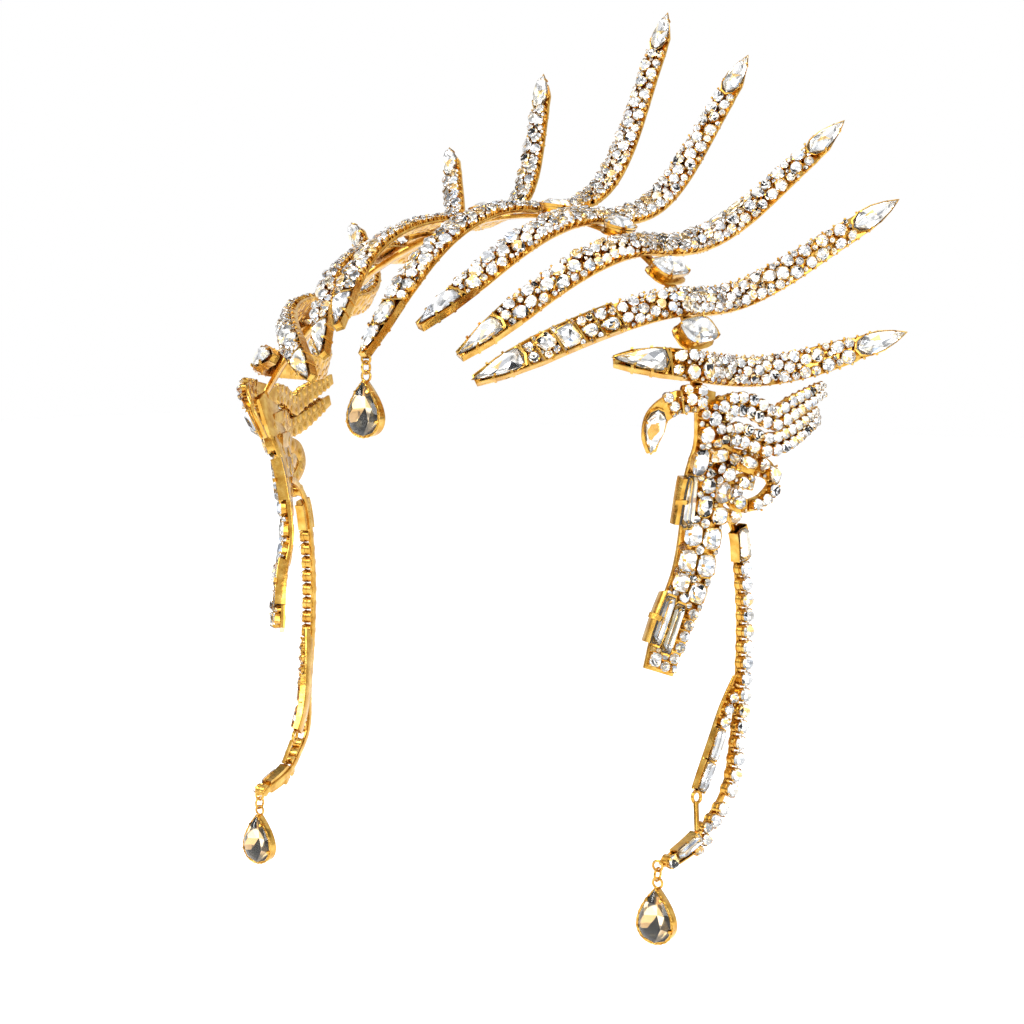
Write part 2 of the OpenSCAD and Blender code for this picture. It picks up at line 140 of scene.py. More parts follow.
def shell(rings, turn):
    """Rings of corners as one shape, with quads between them and a face at each end: its
    points, its corners and each face's count. The turn is -1 where the rings run
    counter-clockwise as seen from the last one, so that every face looks outwards."""
    rows, n = rings.shape[:2]
    quads = ring_quads(rows, n)[..., [0, 1, 2, 3] if turn > 0 else [0, 3, 2, 1]]
    foot, top = np.arange(n)[::turn], (rows - 1) * n + np.arange(n)[::-turn]
    counts = np.concatenate([np.full((rows - 1) * n, 4), [n, n]])
    return rings.reshape(-1, 3), np.concatenate([quads.ravel(), foot, top]), counts


def ribbon(path, profile):
    """A bar along a strip. Each station has a ring of corners, at side * (half width - inset)
    across and a height outwards, and the rings are joined to a closed shell."""
    side, inset, height = np.array(profile).T
    across = side * np.maximum(path["half"][:, None] - inset, thinnest)
    rings = path["place"][:, None] + across[..., None] * path["side"][:, None] \
        + height[:, None] * path["out"][:, None]
    return shell(rings, 1)


def mirrored(right):
    """A whole profile from its right half, which is listed from the underside round."""
    left = [(-side, inset, height) for side, inset, height in right]
    return left[:1] + right + left[:0:-1]


def bar(height, edge, base=0.0):
    """The profile of a flat bar with rounded edges, for ribbon: side, inset and height."""
    top = base + height
    return mirrored([
        (1, edge, base), (1, 0.3 * edge, base + 0.3 * edge), (1, 0, base + edge),
        (1, 0, top - edge), (1, 0.3 * edge, top - 0.3 * edge), (1, edge, top),
    ])


def joined(shapes):
    """Shapes as one: the points of all, with each shape's corners counted on from the last."""
    starts = np.cumsum([0] + [len(s[0]) for s in shapes[:-1]])
    return (
        np.concatenate([s[0] for s in shapes]),
        np.concatenate([s[1] + start for s, start in zip(shapes, starts)]),
        np.concatenate([s[2] for s in shapes]),
    )


def make_piece(name, groups, body, stands_for):
    """One object from groups of (shape, material, smooth), riding on a body in the place of
    CAD nodes. Smooth faces keep an edge where they meet at more than 0.7 radians. A random
    number for each face is kept as the attribute tint, which picks each facet's painted
    light and shade."""
    points, corners, counts = joined([g[0] for g in groups])
    mesh = bpy.data.meshes.new(name)
    mesh.vertices.add(len(points))
    mesh.vertices.foreach_set("co", points.ravel())
    mesh.loops.add(len(corners))
    mesh.loops.foreach_set("vertex_index", corners.astype(np.int32))
    mesh.polygons.add(len(counts))
    mesh.polygons.foreach_set("loop_start", (np.cumsum(counts) - counts).astype(np.int32))
    sizes = [len(g[0][2]) for g in groups]
    finishes = list(dict.fromkeys(g[1] for g in groups))
    index = np.repeat([finishes.index(g[1]) for g in groups], sizes)
    mesh.polygons.foreach_set("material_index", index.astype(np.int32))
    mesh.polygons.foreach_set("use_smooth", np.repeat([g[2] for g in groups], sizes))
    mesh.update(calc_edges=True)
    mesh.set_sharp_from_angle(angle=0.7)
    facet_light = mesh.attributes.new("facet_light", "FLOAT", "FACE")
    facet_light.data.foreach_set("value", np.random.default_rng(len(points)).random(len(counts)))
    for finish in finishes:
        mesh.materials.append(finish)
    piece = bpy.data.objects.new(name, mesh)
    bpy.context.scene.collection.objects.link(piece)
    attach(piece, body)
    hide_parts(*stands_for)


def set_sockets(node, values):
    """A node with the values that are the same all over set on its own sockets."""
    for name, value in values.items():
        node.inputs[name].default_value = value
    return node


def make_material(name, values):
    """A new material, its tree, and its shader with values set on it."""
    material = bpy.data.materials.new(name)
    material.use_nodes = True
    tree = material.node_tree
    return material, tree, set_sockets(tree.nodes["Principled BSDF"], values)


def ramp(tree, stops, constant=False):
    """A colour ramp with a stop at each (position, colour)."""
    colours = tree.nodes.new("ShaderNodeValToRGB")
    colours.color_ramp.interpolation = "CONSTANT" if constant else "LINEAR"
    for position, _ in stops[2:]:
        colours.color_ramp.elements.new(position)
    for element, (position, colour) in zip(colours.color_ramp.elements, stops):
        element.position = position
        element.color = (*colour, 1)
    return colours


def grain(tree, scale, detail=2, coordinates="Object"):
    """A noise on a piece's own coordinates, with so many cells to the metre."""
    place = tree.nodes.new("ShaderNodeTexCoord")
    noise = set_sockets(tree.nodes.new("ShaderNodeTexNoise"), {"Scale": scale, "Detail": detail})
    tree.links.new(place.outputs[coordinates], noise.inputs["Vector"])
    return noise.outputs["Fac"]


# Polished gold plate over filed brass: patches of painted reflection, deep and pale, a fine
# ripple, duller spots
GOLD_SHADES = [(0.3, (0.45, 0.22, 0.032)), (0.5, (0.58, 0.325, 0.06)), (0.7, (0.72, 0.46, 0.12))]
gold, tree, shader = make_material("polished_gold", {"Metallic": 1})
ripple = grain(tree, 700, 3)
colour = ramp(tree, GOLD_SHADES)
rough = set_sockets(tree.nodes.new("ShaderNodeMapRange"), {"To Min": 0.1, "To Max": 0.3})
bump = set_sockets(tree.nodes.new("ShaderNodeBump"), {"Strength": 0.3, "Distance": 0.0003})
# Painted reflection: a coarse noise picks deep or pale gold
tree.links.new(grain(tree, 260, 3), colour.inputs["Fac"])
tree.links.new(ripple, rough.inputs["Value"])
tree.links.new(ripple, bump.inputs["Height"])
tree.links.new(colour.outputs["Color"], shader.inputs["Base Color"])
tree.links.new(rough.outputs["Result"], shader.inputs["Roughness"])
tree.links.new(bump.outputs["Normal"], shader.inputs["Normal"])


def make_gold(name, metal, stands_for, body="root", eyes=()):
    """One piece of polished gold, of a list of shapes and the round eyes that belong to it."""
    groups = [(joined(metal), gold, True)] + [(eye, gold, True) for eye in eyes]
    make_piece(name, groups, body, stands_for)


arc = np.linspace(-band_end, band_end, band_stations)
arc_points = on_arc(arc) - band_thick / 2 * arc_out(arc)
band_path = strip(arc_points, arc_out(arc), np.full(band_stations, band_width / 2))
band_metal = [ribbon(band_path, bar(band_thick, band_edge))]


# Stones on the headband
# Eight foiled crystals sit between the rays, each in a deep box of gold sheet with a
# stepped foot, which is soldered to the headband. Four or six claws hold each stone.
collet_height = 0.0046
collet_length = 0.017
collet_width = 0.0105
stone_rise = 0.002
foot_height = 0.001
foot_sink = 0.0003
collet_claw = 0.00045
RAY_ANGLES = [0, 18.4, 35.5, 55.5, 72.5]


def outline(kind, n):
    """The edge of a stone as n points, counter-clockwise, each way from -1 to 1. A pear, a
    marquise and an arrow point along Y, the arrow with a broad foot. A cushion is a
    superellipse, and a triangle's radius is that of its nearest side, cut at the corners."""
    t = 2 * np.pi * np.arange(n) / n
    c, s = np.cos(t), np.sin(t)
    if kind == "pear":
        return np.stack([-1.3 * s * np.sin(t / 2), c], 1)
    if kind == "marquise":
        return np.stack([s * np.abs(s) ** 0.35, -c], 1)
    if kind == "arrow":
        return np.stack([np.sign(c) * np.abs(c) ** 0.35 * (1 - 0.92 * ((s + 1) / 2) ** 1.3), s], 1)
    if kind == "triangle":
        off = np.mod(t + np.pi / 6, 2 * np.pi / 3) - np.pi / 3
        reach = np.minimum(0.62 / np.cos(off), 1.05)
        return np.stack([reach * c, reach * s], 1)
    power = {"round": 1, "oval": 1, "cushion": 0.62, "square": 0.4}[kind]
    t = t + np.pi / n * (kind in ("cushion", "square"))
    c, s = np.cos(t), np.sin(t)
    return np.stack([np.sign(c) * np.abs(c) ** power, np.sign(s) * np.abs(s) ** power], 1)


def ringed(edge, rows):
    """A turned shape on an outline. Each row's ring is the outline times its shares across
    and along, at its height, and the rings are joined from the foot up to a closed shell."""
    rows = np.array(rows)
    flat = edge[None] * rows[:, None, :2]
    return shell(np.concatenate([flat, np.repeat(rows[:, None, 2:], len(edge), 1)], -1), -1)


def brilliant(edge):
    """The top and the foil of a cut stone, on an outline of an even number of points. A
    table, a star and a kite for every second point and two small facets between kites make
    the top. The foil has a ring of facets and its counterpart, then a fan to one low point."""
    n = len(edge)
    half = n // 2
    girdle = np.column_stack([edge, np.zeros(n)])
    break_ring = np.column_stack([0.8 * edge[1::2], np.full(half, 0.62)])
    table = np.column_stack([0.56 * edge[::2], np.ones(half)])
    i = np.arange(half)
    g, m, t = 2 * i, n + i, n + half + i
    after, before = (i + 1) % half, (i - 1) % half
    stars = np.stack([t, m, n + half + after], 1)
    kites = np.stack([t, n + before, g, m], 1)
    low = np.stack([m, g, g + 1], 1)
    high = np.stack([m, g + 1, (g + 2) % n], 1)
    corners = np.concatenate([t, stars.ravel(), kites.ravel(), low.ravel(), high.ravel()])
    counts = np.concatenate([[half], np.full(half, 3), np.full(half, 4), np.full(n, 3)])
    top = np.concatenate([girdle, break_ring, table]), corners, counts
    corner = girdle[::2] * [1.02, 1.02, 1]
    inner = np.column_stack([0.48 * edge[1::2], np.full(half, -0.75)])
    point = np.full(half, 2 * half)
    wide = np.stack([after, i, half + i], 1)
    narrow = np.stack([after, half + i, half + after], 1)
    fan = np.stack([half + after, half + i, point], 1)
    foil = np.concatenate([corner, inner, [[0.06, 0.04, -1.15]]]), \
        np.concatenate([wide, narrow, fan]).ravel(), np.full(3 * half, 3)
    return top, foil


def step_cut(edge):
    """The top and the foil of a baguette: rings that step in from the edge to a long table,
    and below them one ring down to a narrow keel."""
    points, corners, counts = ringed(edge, [(1, 1, 0), (0.84, 0.93, 0.6), (0.62, 0.84, 1)])
    n = len(edge)
    corners = np.concatenate([corners[:8 * n], corners[9 * n:]])
    top = points, corners, np.delete(counts, 2 * n)
    points, corners, counts = ringed(edge, [(0.1, 0.7, -1.2), (0.6, 0.85, -0.8), (1, 1, 0)])
    foil = points, corners[:9 * n], counts[:-1]
    return top, foil


def repeated(shape, origin, axes, sizes):
    """Copies of a shape: each point's x, y and z times the three sizes, which are numbers or
    have one for each copy, carried along the copy's three axes from its origin."""
    sizes = np.stack(np.broadcast_arrays(*sizes, origin[:, 0])[:3], 1)
    points = origin[:, None] + np.einsum("pk,mk,mkc->mpc", shape[0], sizes, axes)
    starts = len(shape[0]) * np.arange(len(origin))
    corners = (shape[1] + starts[:, None]).ravel()
    return points.reshape(-1, 3), corners, np.tile(shape[2], len(origin))


BAGUETTE_EDGE = np.array([
    (1, -0.86), (1, 0.86), (0.76, 1), (-0.76, 1), (-1, 0.86), (-1, -0.86), (-0.76, -1), (0.76, -1),
])
# A claw, in its own half thickness: how far out and up each row is, and its half width
CLAW = [(0.2, -3.4, 1), (0.5, -0.6, 1), (0.3, 1.1, 0.95), (-0.9, 1.9, 0.6)]
CLAW_ANGLES = {
    "round": (45, 135, 225, 315), "oval": (50, 130, 230, 310), "cushion": (45, 135, 225, 315),
    "square": (45, 135, 225, 315), "triangle": (0, 120, 240), "pear": (48, 118, 242, 312),
    "marquise": (0, 65, 115, 180, 245, 295), "baguette": (0, 180), "arrow": (15, 165, 240, 300),
}
# Kinds with a painted shade line: a near-black band round the stone for the shadowed gap beside it
EDGE_LINE = ("baguette", "pear", "marquise", "arrow")


def claw_shape():
    """A bent tab: a ring of four corners at each row of its table, half a unit thick each
    way outwards, joined to a closed shell."""
    out, up, wide = np.array(CLAW).T
    thick = np.array([0.45, 0.45, 0.4, 0.25])
    x = wide[:, None] * np.array([-1, 1, 1, -1])
    y = out[:, None] + thick[:, None] * np.array([1, 1, -1, -1])
    z = up[:, None] + 0.6 * thick[:, None] * np.array([1, 1, -1, -1])
    return shell(np.stack([x, y, z], -1), 1)


def set_stones(kind, origin, axes, half_wide, half_long, rise, depth, claw, sides):
    """Stones of one kind in their cups, as lists of shapes for each finish. A cup widens from
    its foot to a lip at the girdle, and a claw stands at each of the kind's angles. Long
    stones have a painted shade line between crystal and gold: a near-black band that stands
    for the shadowed gap there."""
    edge = BAGUETTE_EDGE if kind == "baguette" else outline(kind, sides)
    top, foil = step_cut(edge) if kind == "baguette" else brilliant(edge)
    lined = kind in EDGE_LINE
    lip = 1.13 if lined else 1.05
    inner = lip - 0.07
    cup = ringed(edge, [(0.84, 0.84, -1), (lip, lip, 0.05), (inner, inner, 0), (0.7, 0.7, -0.9)])
    setting = {
        "stone": [repeated(top, origin, axes, (half_wide, half_long, rise))],
        "foil": [repeated(foil, origin, axes, (half_wide, half_long, 0.8 * depth))],
        "edge": [], "metal": [repeated(cup, origin, axes, (half_wide, half_long, depth))],
    }
    steps = 2 * np.pi * np.arange(len(edge) + 1) / len(edge)
    loop = np.concatenate([edge, edge[:1]])
    for angle in np.radians(CLAW_ANGLES[kind]):
        x, y = (np.interp(angle, steps, column) for column in loop.T)
        if kind == "baguette":
            x, y = np.cos(angle), 0.1
        reach = x * np.reshape(half_wide, (-1, 1)) * axes[:, 0] \
            + y * np.reshape(half_long, (-1, 1)) * axes[:, 1]
        outwards = unit(reach)
        across = np.cross(outwards, axes[:, 2])
        turned = np.stack([across, outwards, axes[:, 2]], 1)
        setting["metal"].append(repeated(claw_shape(), origin + reach, turned, 3 * [claw]))
    if lined:
        # Painted shade: a black ring from just inside the girdle out to the lip, for the shadowed
        # gap
        near, far, low, high = (0.97, 0.98), (1.07, 1.04), -0.3, -0.02
        points, corners, counts = ringed(
            edge, [(*near, low), (*far, low), (*far, high), (*near, high), (*near, low)])
        line = points, corners[:-2 * len(edge)], counts[:-2]
        setting["edge"] = [repeated(line, origin, axes, (half_wide, half_long, depth))]
    return setting


# Clear cut crystal with painted reflections of cream or blue in some facets, the silvered
# foil behind it, whose facets carry painted reflections and shade, bright in most, black in
# a few and gold, cream or blue in some, and the painted shade line round the foil
CRYSTAL_SHADES = [
    (0.0, (0.98, 0.99, 1.0)), (0.72, (1.0, 0.95, 0.86)), (0.93, (0.9, 0.95, 1.0)),
]
SILVER_SHADES = [
    (0.0, (0.012, 0.013, 0.016)), (0.045, (0.34, 0.35, 0.37)), (0.11, (0.55, 0.56, 0.58)),
    (0.26, (0.7, 0.7, 0.71)), (0.46, (0.79, 0.79, 0.78)), (0.68, (0.9, 0.9, 0.89)),
    (0.8, (0.92, 0.62, 0.25)), (0.87, (0.96, 0.85, 0.64)), (0.97, (0.6, 0.69, 0.85)),
]


def facet_shades(tree, shader, stops, glow=0.0):
    """Each face's own number picks its colour from the ramp: painted light and shade that
    stands for what each facet mirrors. The glow is painted light too: an emission in the
    same colour that stands for the light that a foil sends back from facets too small to model."""
    facet = tree.nodes.new("ShaderNodeAttribute")
    facet.attribute_name = "facet_light"
    shades = ramp(tree, stops, constant=True)
    tree.links.new(facet.outputs["Fac"], shades.inputs["Fac"])
    tree.links.new(shades.outputs["Color"], shader.inputs["Base Color"])
    if glow:
        tree.links.new(shades.outputs["Color"], shader.inputs["Emission Color"])
        set_sockets(shader, {"Emission Strength": glow})


# The crystal's cream and blue facets are painted reflections
crystal, tree, shader = make_material("clear_crystal", {
    "Transmission Weight": 1, "Roughness": 0.01, "IOR": 1.45,
})
facet_shades(tree, shader, CRYSTAL_SHADES)
# The silver foil's facet colours are painted reflections and shade, and its glow is painted light
foil_silver, tree, shader = make_material("silver_foil", {"Metallic": 1, "Roughness": 0.12})
facet_shades(tree, shader, SILVER_SHADES, glow=0.22)
# The painted shade line: near-black with a faint noise, for the shadowed gap beside a stone
shade_line, tree, shader = make_material("painted_shade_line", {"Roughness": 0.25})
colour = ramp(tree, [(0.4, (0.006, 0.005, 0.004)), (0.7, (0.05, 0.035, 0.02))])
tree.links.new(grain(tree, 500), colour.inputs["Fac"])
tree.links.new(colour.outputs["Color"], shader.inputs["Base Color"])


def make_stones(name, settings, metal, stands_for, body="root",
                glass=crystal, backing=foil_silver):
    """One piece of the stones, foils and painted shade lines of many settings. Their cups and
    claws go on the list of what is gold."""
    parts = {part: [shape for setting in settings for shape in setting[part]]
             for part in ("stone", "foil", "edge", "metal")}
    metal += parts["metal"]
    groups = [(joined(parts["stone"]), glass, False), (joined(parts["foil"]), backing, False)]
    groups += [(line, shade_line, False) for line in parts["edge"]]
    make_piece(name, groups, body, stands_for)


COLLETS = [("pear", 1), ("marquise", 2), ("cushion", 3), ("cushion", 4)]
SIDES = [(1, "left"), (-1, "right")]
for hand, side_name in SIDES:
    for kind, k in COLLETS:
        angle = hand * (RAY_ANGLES[k - 1] + RAY_ANGLES[k]) / 2
        out = arc_out(angle)
        back = unit(np.array([0, 1, 0]) - out[1] * out)
        axes = np.stack([np.cross(back, out), back, out])[None]
        seat = (on_arc(angle) + band_thick / 2 * out)[None]
        girdle = seat + (collet_height - band_thick / 2 + fit_gap) * out
        setting = set_stones(kind, girdle, axes, collet_width / 2, collet_length / 2, stone_rise,
                             collet_height - foot_height, collet_claw, 16)
        foot = ringed(outline(kind, 16), [(1.1, 1.08, 0), (1.1, 1.08, 0.6), (0.98, 0.98, 1)])
        make_stones(f"set_band_stone_{side_name}_{k}", [setting], band_metal,
                    [f"band_stone_{side_name}_{k}"])
        band_metal.append(repeated(foot, seat - foot_sink * out, axes,
                                   (collet_width / 2, collet_length / 2, foot_height)))
make_gold("gold_headband", band_metal, ["headband"])


# Rays
# Nine curved gold channels cross the headband, each with a finger over the brow and a
# spike behind. A flat base runs from tip to tip, and each crystal has its own cup on it.
front_reach = 0.096
front_drop = 0.055
rear_reach = 0.119
rear_rise = 0.0905
ray_width = 0.011
ray_thick = 0.0028
base_thick = 0.0012
box_length = 0.024
tip_length = 0.019
tip_width = 0.0082
ray_steps = 60
# Columns: angle on the headband, front reach, front drop, front lean to the side, front bow to
# the side, rear reach, rear rise, rear lean and bow to the side, as shares of the centre's
RAY = [
    [0, 1, 1, -0.04, 0, 1, 1, 0, 0],
    [18.4, 0.94, 0.79, 0, 0.06, 0.83, 0.79, -0.045, 0],
    [35.5, 0.8, 0.89, 0, 0.02, 0.825, 0.69, 0, 0],
    [55.5, 0.665, 0.98, -0.045, 0, 0.69, 0.655, -0.05, 0],
    [72.5, 0.26, 0.35, -0.085, -0.012, 0.655, 0.49, 0.01, 0.036],
]
FINGER = [0.54, 0.79, 0.57]
SPIKE = [0.62, 0.61, 0.25]
RAY_WIDTH = [[0, 0.3], [0.05, 0.7], [0.12, 0.95], [0.3, 1], [0.75, 0.95], [0.88, 0.8]]


def bezier(a, b, c, d, u):
    """The cubic curve from a to d whose ends head for b and come from c."""
    a, b, c, d = np.array([a, b, c, d])
    return (1 - u) ** 3 * a + 3 * (1 - u) ** 2 * u * b + 3 * (1 - u) * u * u * c + u ** 3 * d


def ray_strip(k, hand):
    """A ray's underside. Two Bezier curves run from the front tip to the headband and on to
    the rear tip. They are lifted off the headband, turned to the ray's angle and mirrored
    for the wearer's right. The width follows the table, then the pointed stone."""
    angle, front, drop, lean, bow, rear, rise, rear_lean, rear_bow = RAY[k]
    reach, fall = front * front_reach, drop * front_drop
    behind, up = rear * rear_reach, rise * rear_rise
    sideways, sag = bow * front_reach, rear_bow * rear_reach
    tip = np.array([lean * front_reach, -reach, -fall])
    end = np.array([rear_lean * rear_reach, behind, up])
    seat, u = np.zeros(3), np.linspace(0, 1, ray_steps)[:, None]
    finger = bezier(tip, [0.6 * tip[0] + sideways, -FINGER[1] * reach, -FINGER[2] * fall],
                    [sideways, -FINGER[0] * reach, 0], seat, u[:-1])
    spike = bezier(seat, [sag, SPIKE[0] * behind, 0],
                   [0.5 * end[0] + sag, SPIKE[1] * behind, SPIKE[2] * up], end, u)
    local = np.concatenate([finger, spike])
    face = turn_y(angle, [0, 0, 1])
    across = np.cross(arc_out(angle), arc_along(angle))
    lift = band_thick / 2 + fit_gap + band_width / 2 * abs(across @ face) \
        + ray_width / 2 * abs(arc_along(angle) @ face)
    points = on_arc(angle) + turn_y(angle, local + [0, 0, lift])
    s = np.concatenate([[0], np.cumsum(np.linalg.norm(np.diff(points, axis=0), axis=1))])
    shares = np.array(RAY_WIDTH).T
    width = ray_width * np.interp(s / s[-1], shares[0], shares[1])
    stone = np.maximum(0.2 * tip_width, tip_width * np.minimum(1, 1.6 * (s[-1] - s) / tip_length))
    width = np.where(s > s[-1] - tip_length, stone, width)
    mirror = np.array([hand, 1, 1])
    return strip(points * mirror, face * mirror, width / 2)


def at_distances(path, s, name):
    """One of a strip's vectors at distances along it, each component interpolated."""
    return np.stack([np.interp(s, path["s"], path[name][:, c]) for c in range(3)], 1)


def stretch(path, start, stop):
    """The part of a strip between two distances, with stations added at both."""
    inside = path["s"][(path["s"] > start) & (path["s"] < stop)]
    s = np.concatenate([[start], inside, [stop]])
    cut = {name: at_distances(path, s, name) for name in ("place", "side", "along", "out")}
    return dict(cut, s=s, half=np.interp(s, path["s"], path["half"]))


def seats(path, s, across, height, roll=0.0, pitch=0.0, turn=0.0):
    """Places on a strip for stones: origins, and the axes side, along and out, each rolled
    about the travel, pitched about the side and turned about out by small angles."""
    side, along, out = (unit(at_distances(path, s, name)) for name in ("side", "along", "out"))
    column = (-1, 1)
    origin = at_distances(path, s, "place") + np.reshape(across, column) * side \
        + np.reshape(height, column) * out
    roll, pitch, turn = (
        np.reshape(np.broadcast_to(angle, len(s)), column) for angle in (roll, pitch, turn))
    out = unit(out + np.tan(roll) * side + np.tan(pitch) * along)
    side = unit(side - np.sum(side * out, 1, keepdims=True) * out)
    along = np.cross(out, side)
    c, s = np.cos(turn), np.sin(turn)
    return origin, np.stack([c * side + s * along, c * along - s * side, out], 1)


def pack_rounds(path, start, stop, sizes, laid, seed):
    """Round places laid as close as they go. Every spot of a grid on the strip keeps the room
    it has, to the strip's edges and to the nearest stone. The sizes come from the largest
    down, each on its own stretch and for its own share of it, always where it fits tightest.
    What is laid already counts as a bar with round ends. Returns s, v and r."""
    grid, reach, overhang, slack = 0.00025, 0.01, 0.0003, 0.0003
    rng = np.random.default_rng(seed)
    s, v = np.meshgrid(np.arange(start, stop, grid), np.arange(-reach, reach, grid), indexing="ij")
    half = np.interp(s, path["s"], path["half"])
    room = np.minimum(half + overhang - np.abs(v), np.minimum(s - start, stop - s))
    for at, lane, wide, long in laid:
        core = min(wide, long)
        far = np.hypot(np.maximum(abs(s - at) - long + core, 0),
                       np.maximum(abs(v - lane) - wide + core, 0))
        room = np.minimum(room, far - core)
    places = []
    for size, share, low, high in sizes:
        here = (s >= low) & (s <= high)
        left = share * grid ** 2 * np.sum(here & (room > 0)) / (np.pi * size * size)
        while left > rng.random():
            fits = np.where(here & (room >= size), room + slack * rng.random(room.shape), 1)
            spot = np.argmin(fits)
            if fits.flat[spot] == 1:
                break
            places.append((s.flat[spot], v.flat[spot], size))
            room = np.minimum(room, np.hypot(s - s.flat[spot], v - v.flat[spot]) - size)
            left -= 1
    return np.array(places).T


def set_field(path, s, v, r, girdle, rise, depth, seed):
    """Packed places filled with stones: the larger ones round, oval or cushion, the small
    ones round. The field is domed, and each stone leans and stands a little its own way."""
    rng = np.random.default_rng(seed)
    share = v / np.interp(s, path["s"], path["half"])
    roll = 0.36 * share + 0.1 * rng.standard_normal(len(s))
    pitch = 0.12 * rng.standard_normal(len(s))
    turn = rng.uniform(-0.7, 0.7, len(s))
    height = girdle - 0.0009 * share ** 2 + 0.0002 * rng.standard_normal(len(s)) + 0.0003
    origin, axes = seats(path, s, v, height, roll, pitch, turn)
    draw = rng.random(len(s))
    kinds = np.where(draw > 0.84, "cushion", np.where(draw > 0.5, "oval", "round"))
    kinds = np.where(r > 0.0018, kinds, "round")
    settings = []
    for kind in np.unique(kinds):
        these = kinds == kind
        size = r[these]
        wide, long = (0.84, 1.1) if kind == "oval" else (0.95, 0.95)
        settings.append(set_stones(
            kind, origin[these], axes[these], wide * size, long * size,
            rise * np.minimum(size / 0.0022, 1.1), depth, 0.00007 + 0.1 * size, 10))
    return settings


def set_rows(path, rows, height, depth, hand, rise=0.0019):
    """The stones of a table set along a strip, one kind after the other. Its columns are kind,
    distance, distance to the side, half width and half length in millimetres, and turn."""
    settings = []
    for kind in sorted({row[0] for row in rows}):
        s, v, wide, long, turn = np.array([row[1:] for row in rows if row[0] == kind]).T
        origin, axes = seats(path, s / 1000, hand * v / 1000, height, turn=np.radians(hand * turn))
        settings.append(set_stones(
            kind, origin, axes, wide / 1000, long / 1000, rise, depth,
            0.0002 + 0.00006 * np.minimum(wide, long), 12))
    return settings


def laid_rows(rows, hand):
    """The room that a table's stones take, with a tenth of a millimetre to spare: distance,
    distance to the side, half sizes."""
    spare = 0.0001
    return [(at / 1000, hand * lane / 1000, wide / 1000 + spare, long / 1000 + spare)
            for kind, at, lane, wide, long, turn in rows]


def spots(rows, hand):
    """A table's stones as rounds: distance, distance to the side, and the lesser half size."""
    return np.array([[row[1], hand * row[2], min(row[3:5])] for row in rows]).T / 1000


def posts(path, start, stop, step, low, high, radius):
    """Round posts with a bead on top along both edges of a strip, at an even step."""
    shape = ringed(outline("round", 8), [
        (0.45, 0.45, 0), (0.45, 0.45, 0.7), (0.9, 0.9, 0.76), (1, 1, 0.86), (0.8, 0.8, 0.95),
        (0.3, 0.3, 1),
    ])
    s = np.tile(np.arange(start, stop, step), 2)
    hand = np.repeat([-1, 1], len(s) // 2)
    v = hand * (np.interp(s, path["s"], path["half"]) - 0.3 * radius)
    origin, axes = seats(path, s, v, low, roll=0.2 * hand)
    return repeated(shape, origin, axes, (radius, radius, high - low))


def cross_bars(path, stations, slant, low, high, thick=0.0003):
    """Thin walls across a strip between its stones, each a bar turned by the slant."""
    box = ringed(np.array([(1, -1), (1, 1), (-1, 1), (-1, -1)]), [(1, 1, 0), (1, 1, 1)])
    s = np.array(stations)
    reach = np.interp(s, path["s"], path["half"]) / np.cos(slant)
    origin, axes = seats(path, s, 0, low, turn=slant)
    return repeated(box, origin, axes, (reach, thick, high - low))


def cup_backs(path, s, v, r, low):
    """The rounded feet of cups, a third of a millimetre proud of the back of a strip."""
    foot = ringed(outline("round", 10), [
        (0.35, 0.35, -1), (0.75, 0.75, -0.8), (0.95, 0.95, -0.3), (1, 1, 0.3),
    ])
    origin, axes = seats(path, s, v, low)
    return repeated(foot, origin, axes, (0.85 * r, 0.85 * r, 0.0003))


def box_walls(low, high, wall, floor):
    """The profile of an open box of sheet along a strip, for ribbon: its floor and two walls."""
    return mirrored([(1, 0, low), (1, 0, high), (1, wall, high), (1, wall, floor)])


def torus(middle, first, second, radius, wire):
    """A closed ring of round wire. Its middle line is radius * (cos t first + sin t second),
    and the wire's section turns through 14 corners about it."""
    t = 2 * np.pi * np.arange(44) / 44
    a = 2 * np.pi * np.arange(14) / 14
    first, second = np.array(first, float), np.array(second, float)
    away = np.cos(t)[:, None] * first + np.sin(t)[:, None] * second
    reach = radius + wire * np.cos(a)
    rings = away[:, None] * reach[:, None] + wire * np.sin(a)[:, None] * np.cross(first, second)
    return middle + rings.reshape(-1, 3), ring_quads(44, 14, True).ravel(), np.full(44 * 14, 4)


def wire_eye(middle):
    """A round eye of wire that stands square to the front."""
    return torus(middle, [1, 0, 0], [0, 0, 1], eye_radius, wire_radius)


def field_sizes(full):
    """Radii of the small stones: radius, share, and the stretch that it is used on. Large ones
    are on the finger, small ones over the headband, and the spike has both."""
    front, back = 0.26 * full, 0.5 * full
    return [
        (0.0029, 0.35, 0, front), (0.0027, 0.2, back, full), (0.0024, 0.4, 0, front),
        (0.0023, 0.4, back, full), (0.0021, 0.5, front, back), (0.002, 0.7, 0, full),
        (0.0017, 1, 0, full), (0.0014, 2, 0, full), (0.0011, 3, 0, full), (0.0008, 1.5, 0, full),
    ]


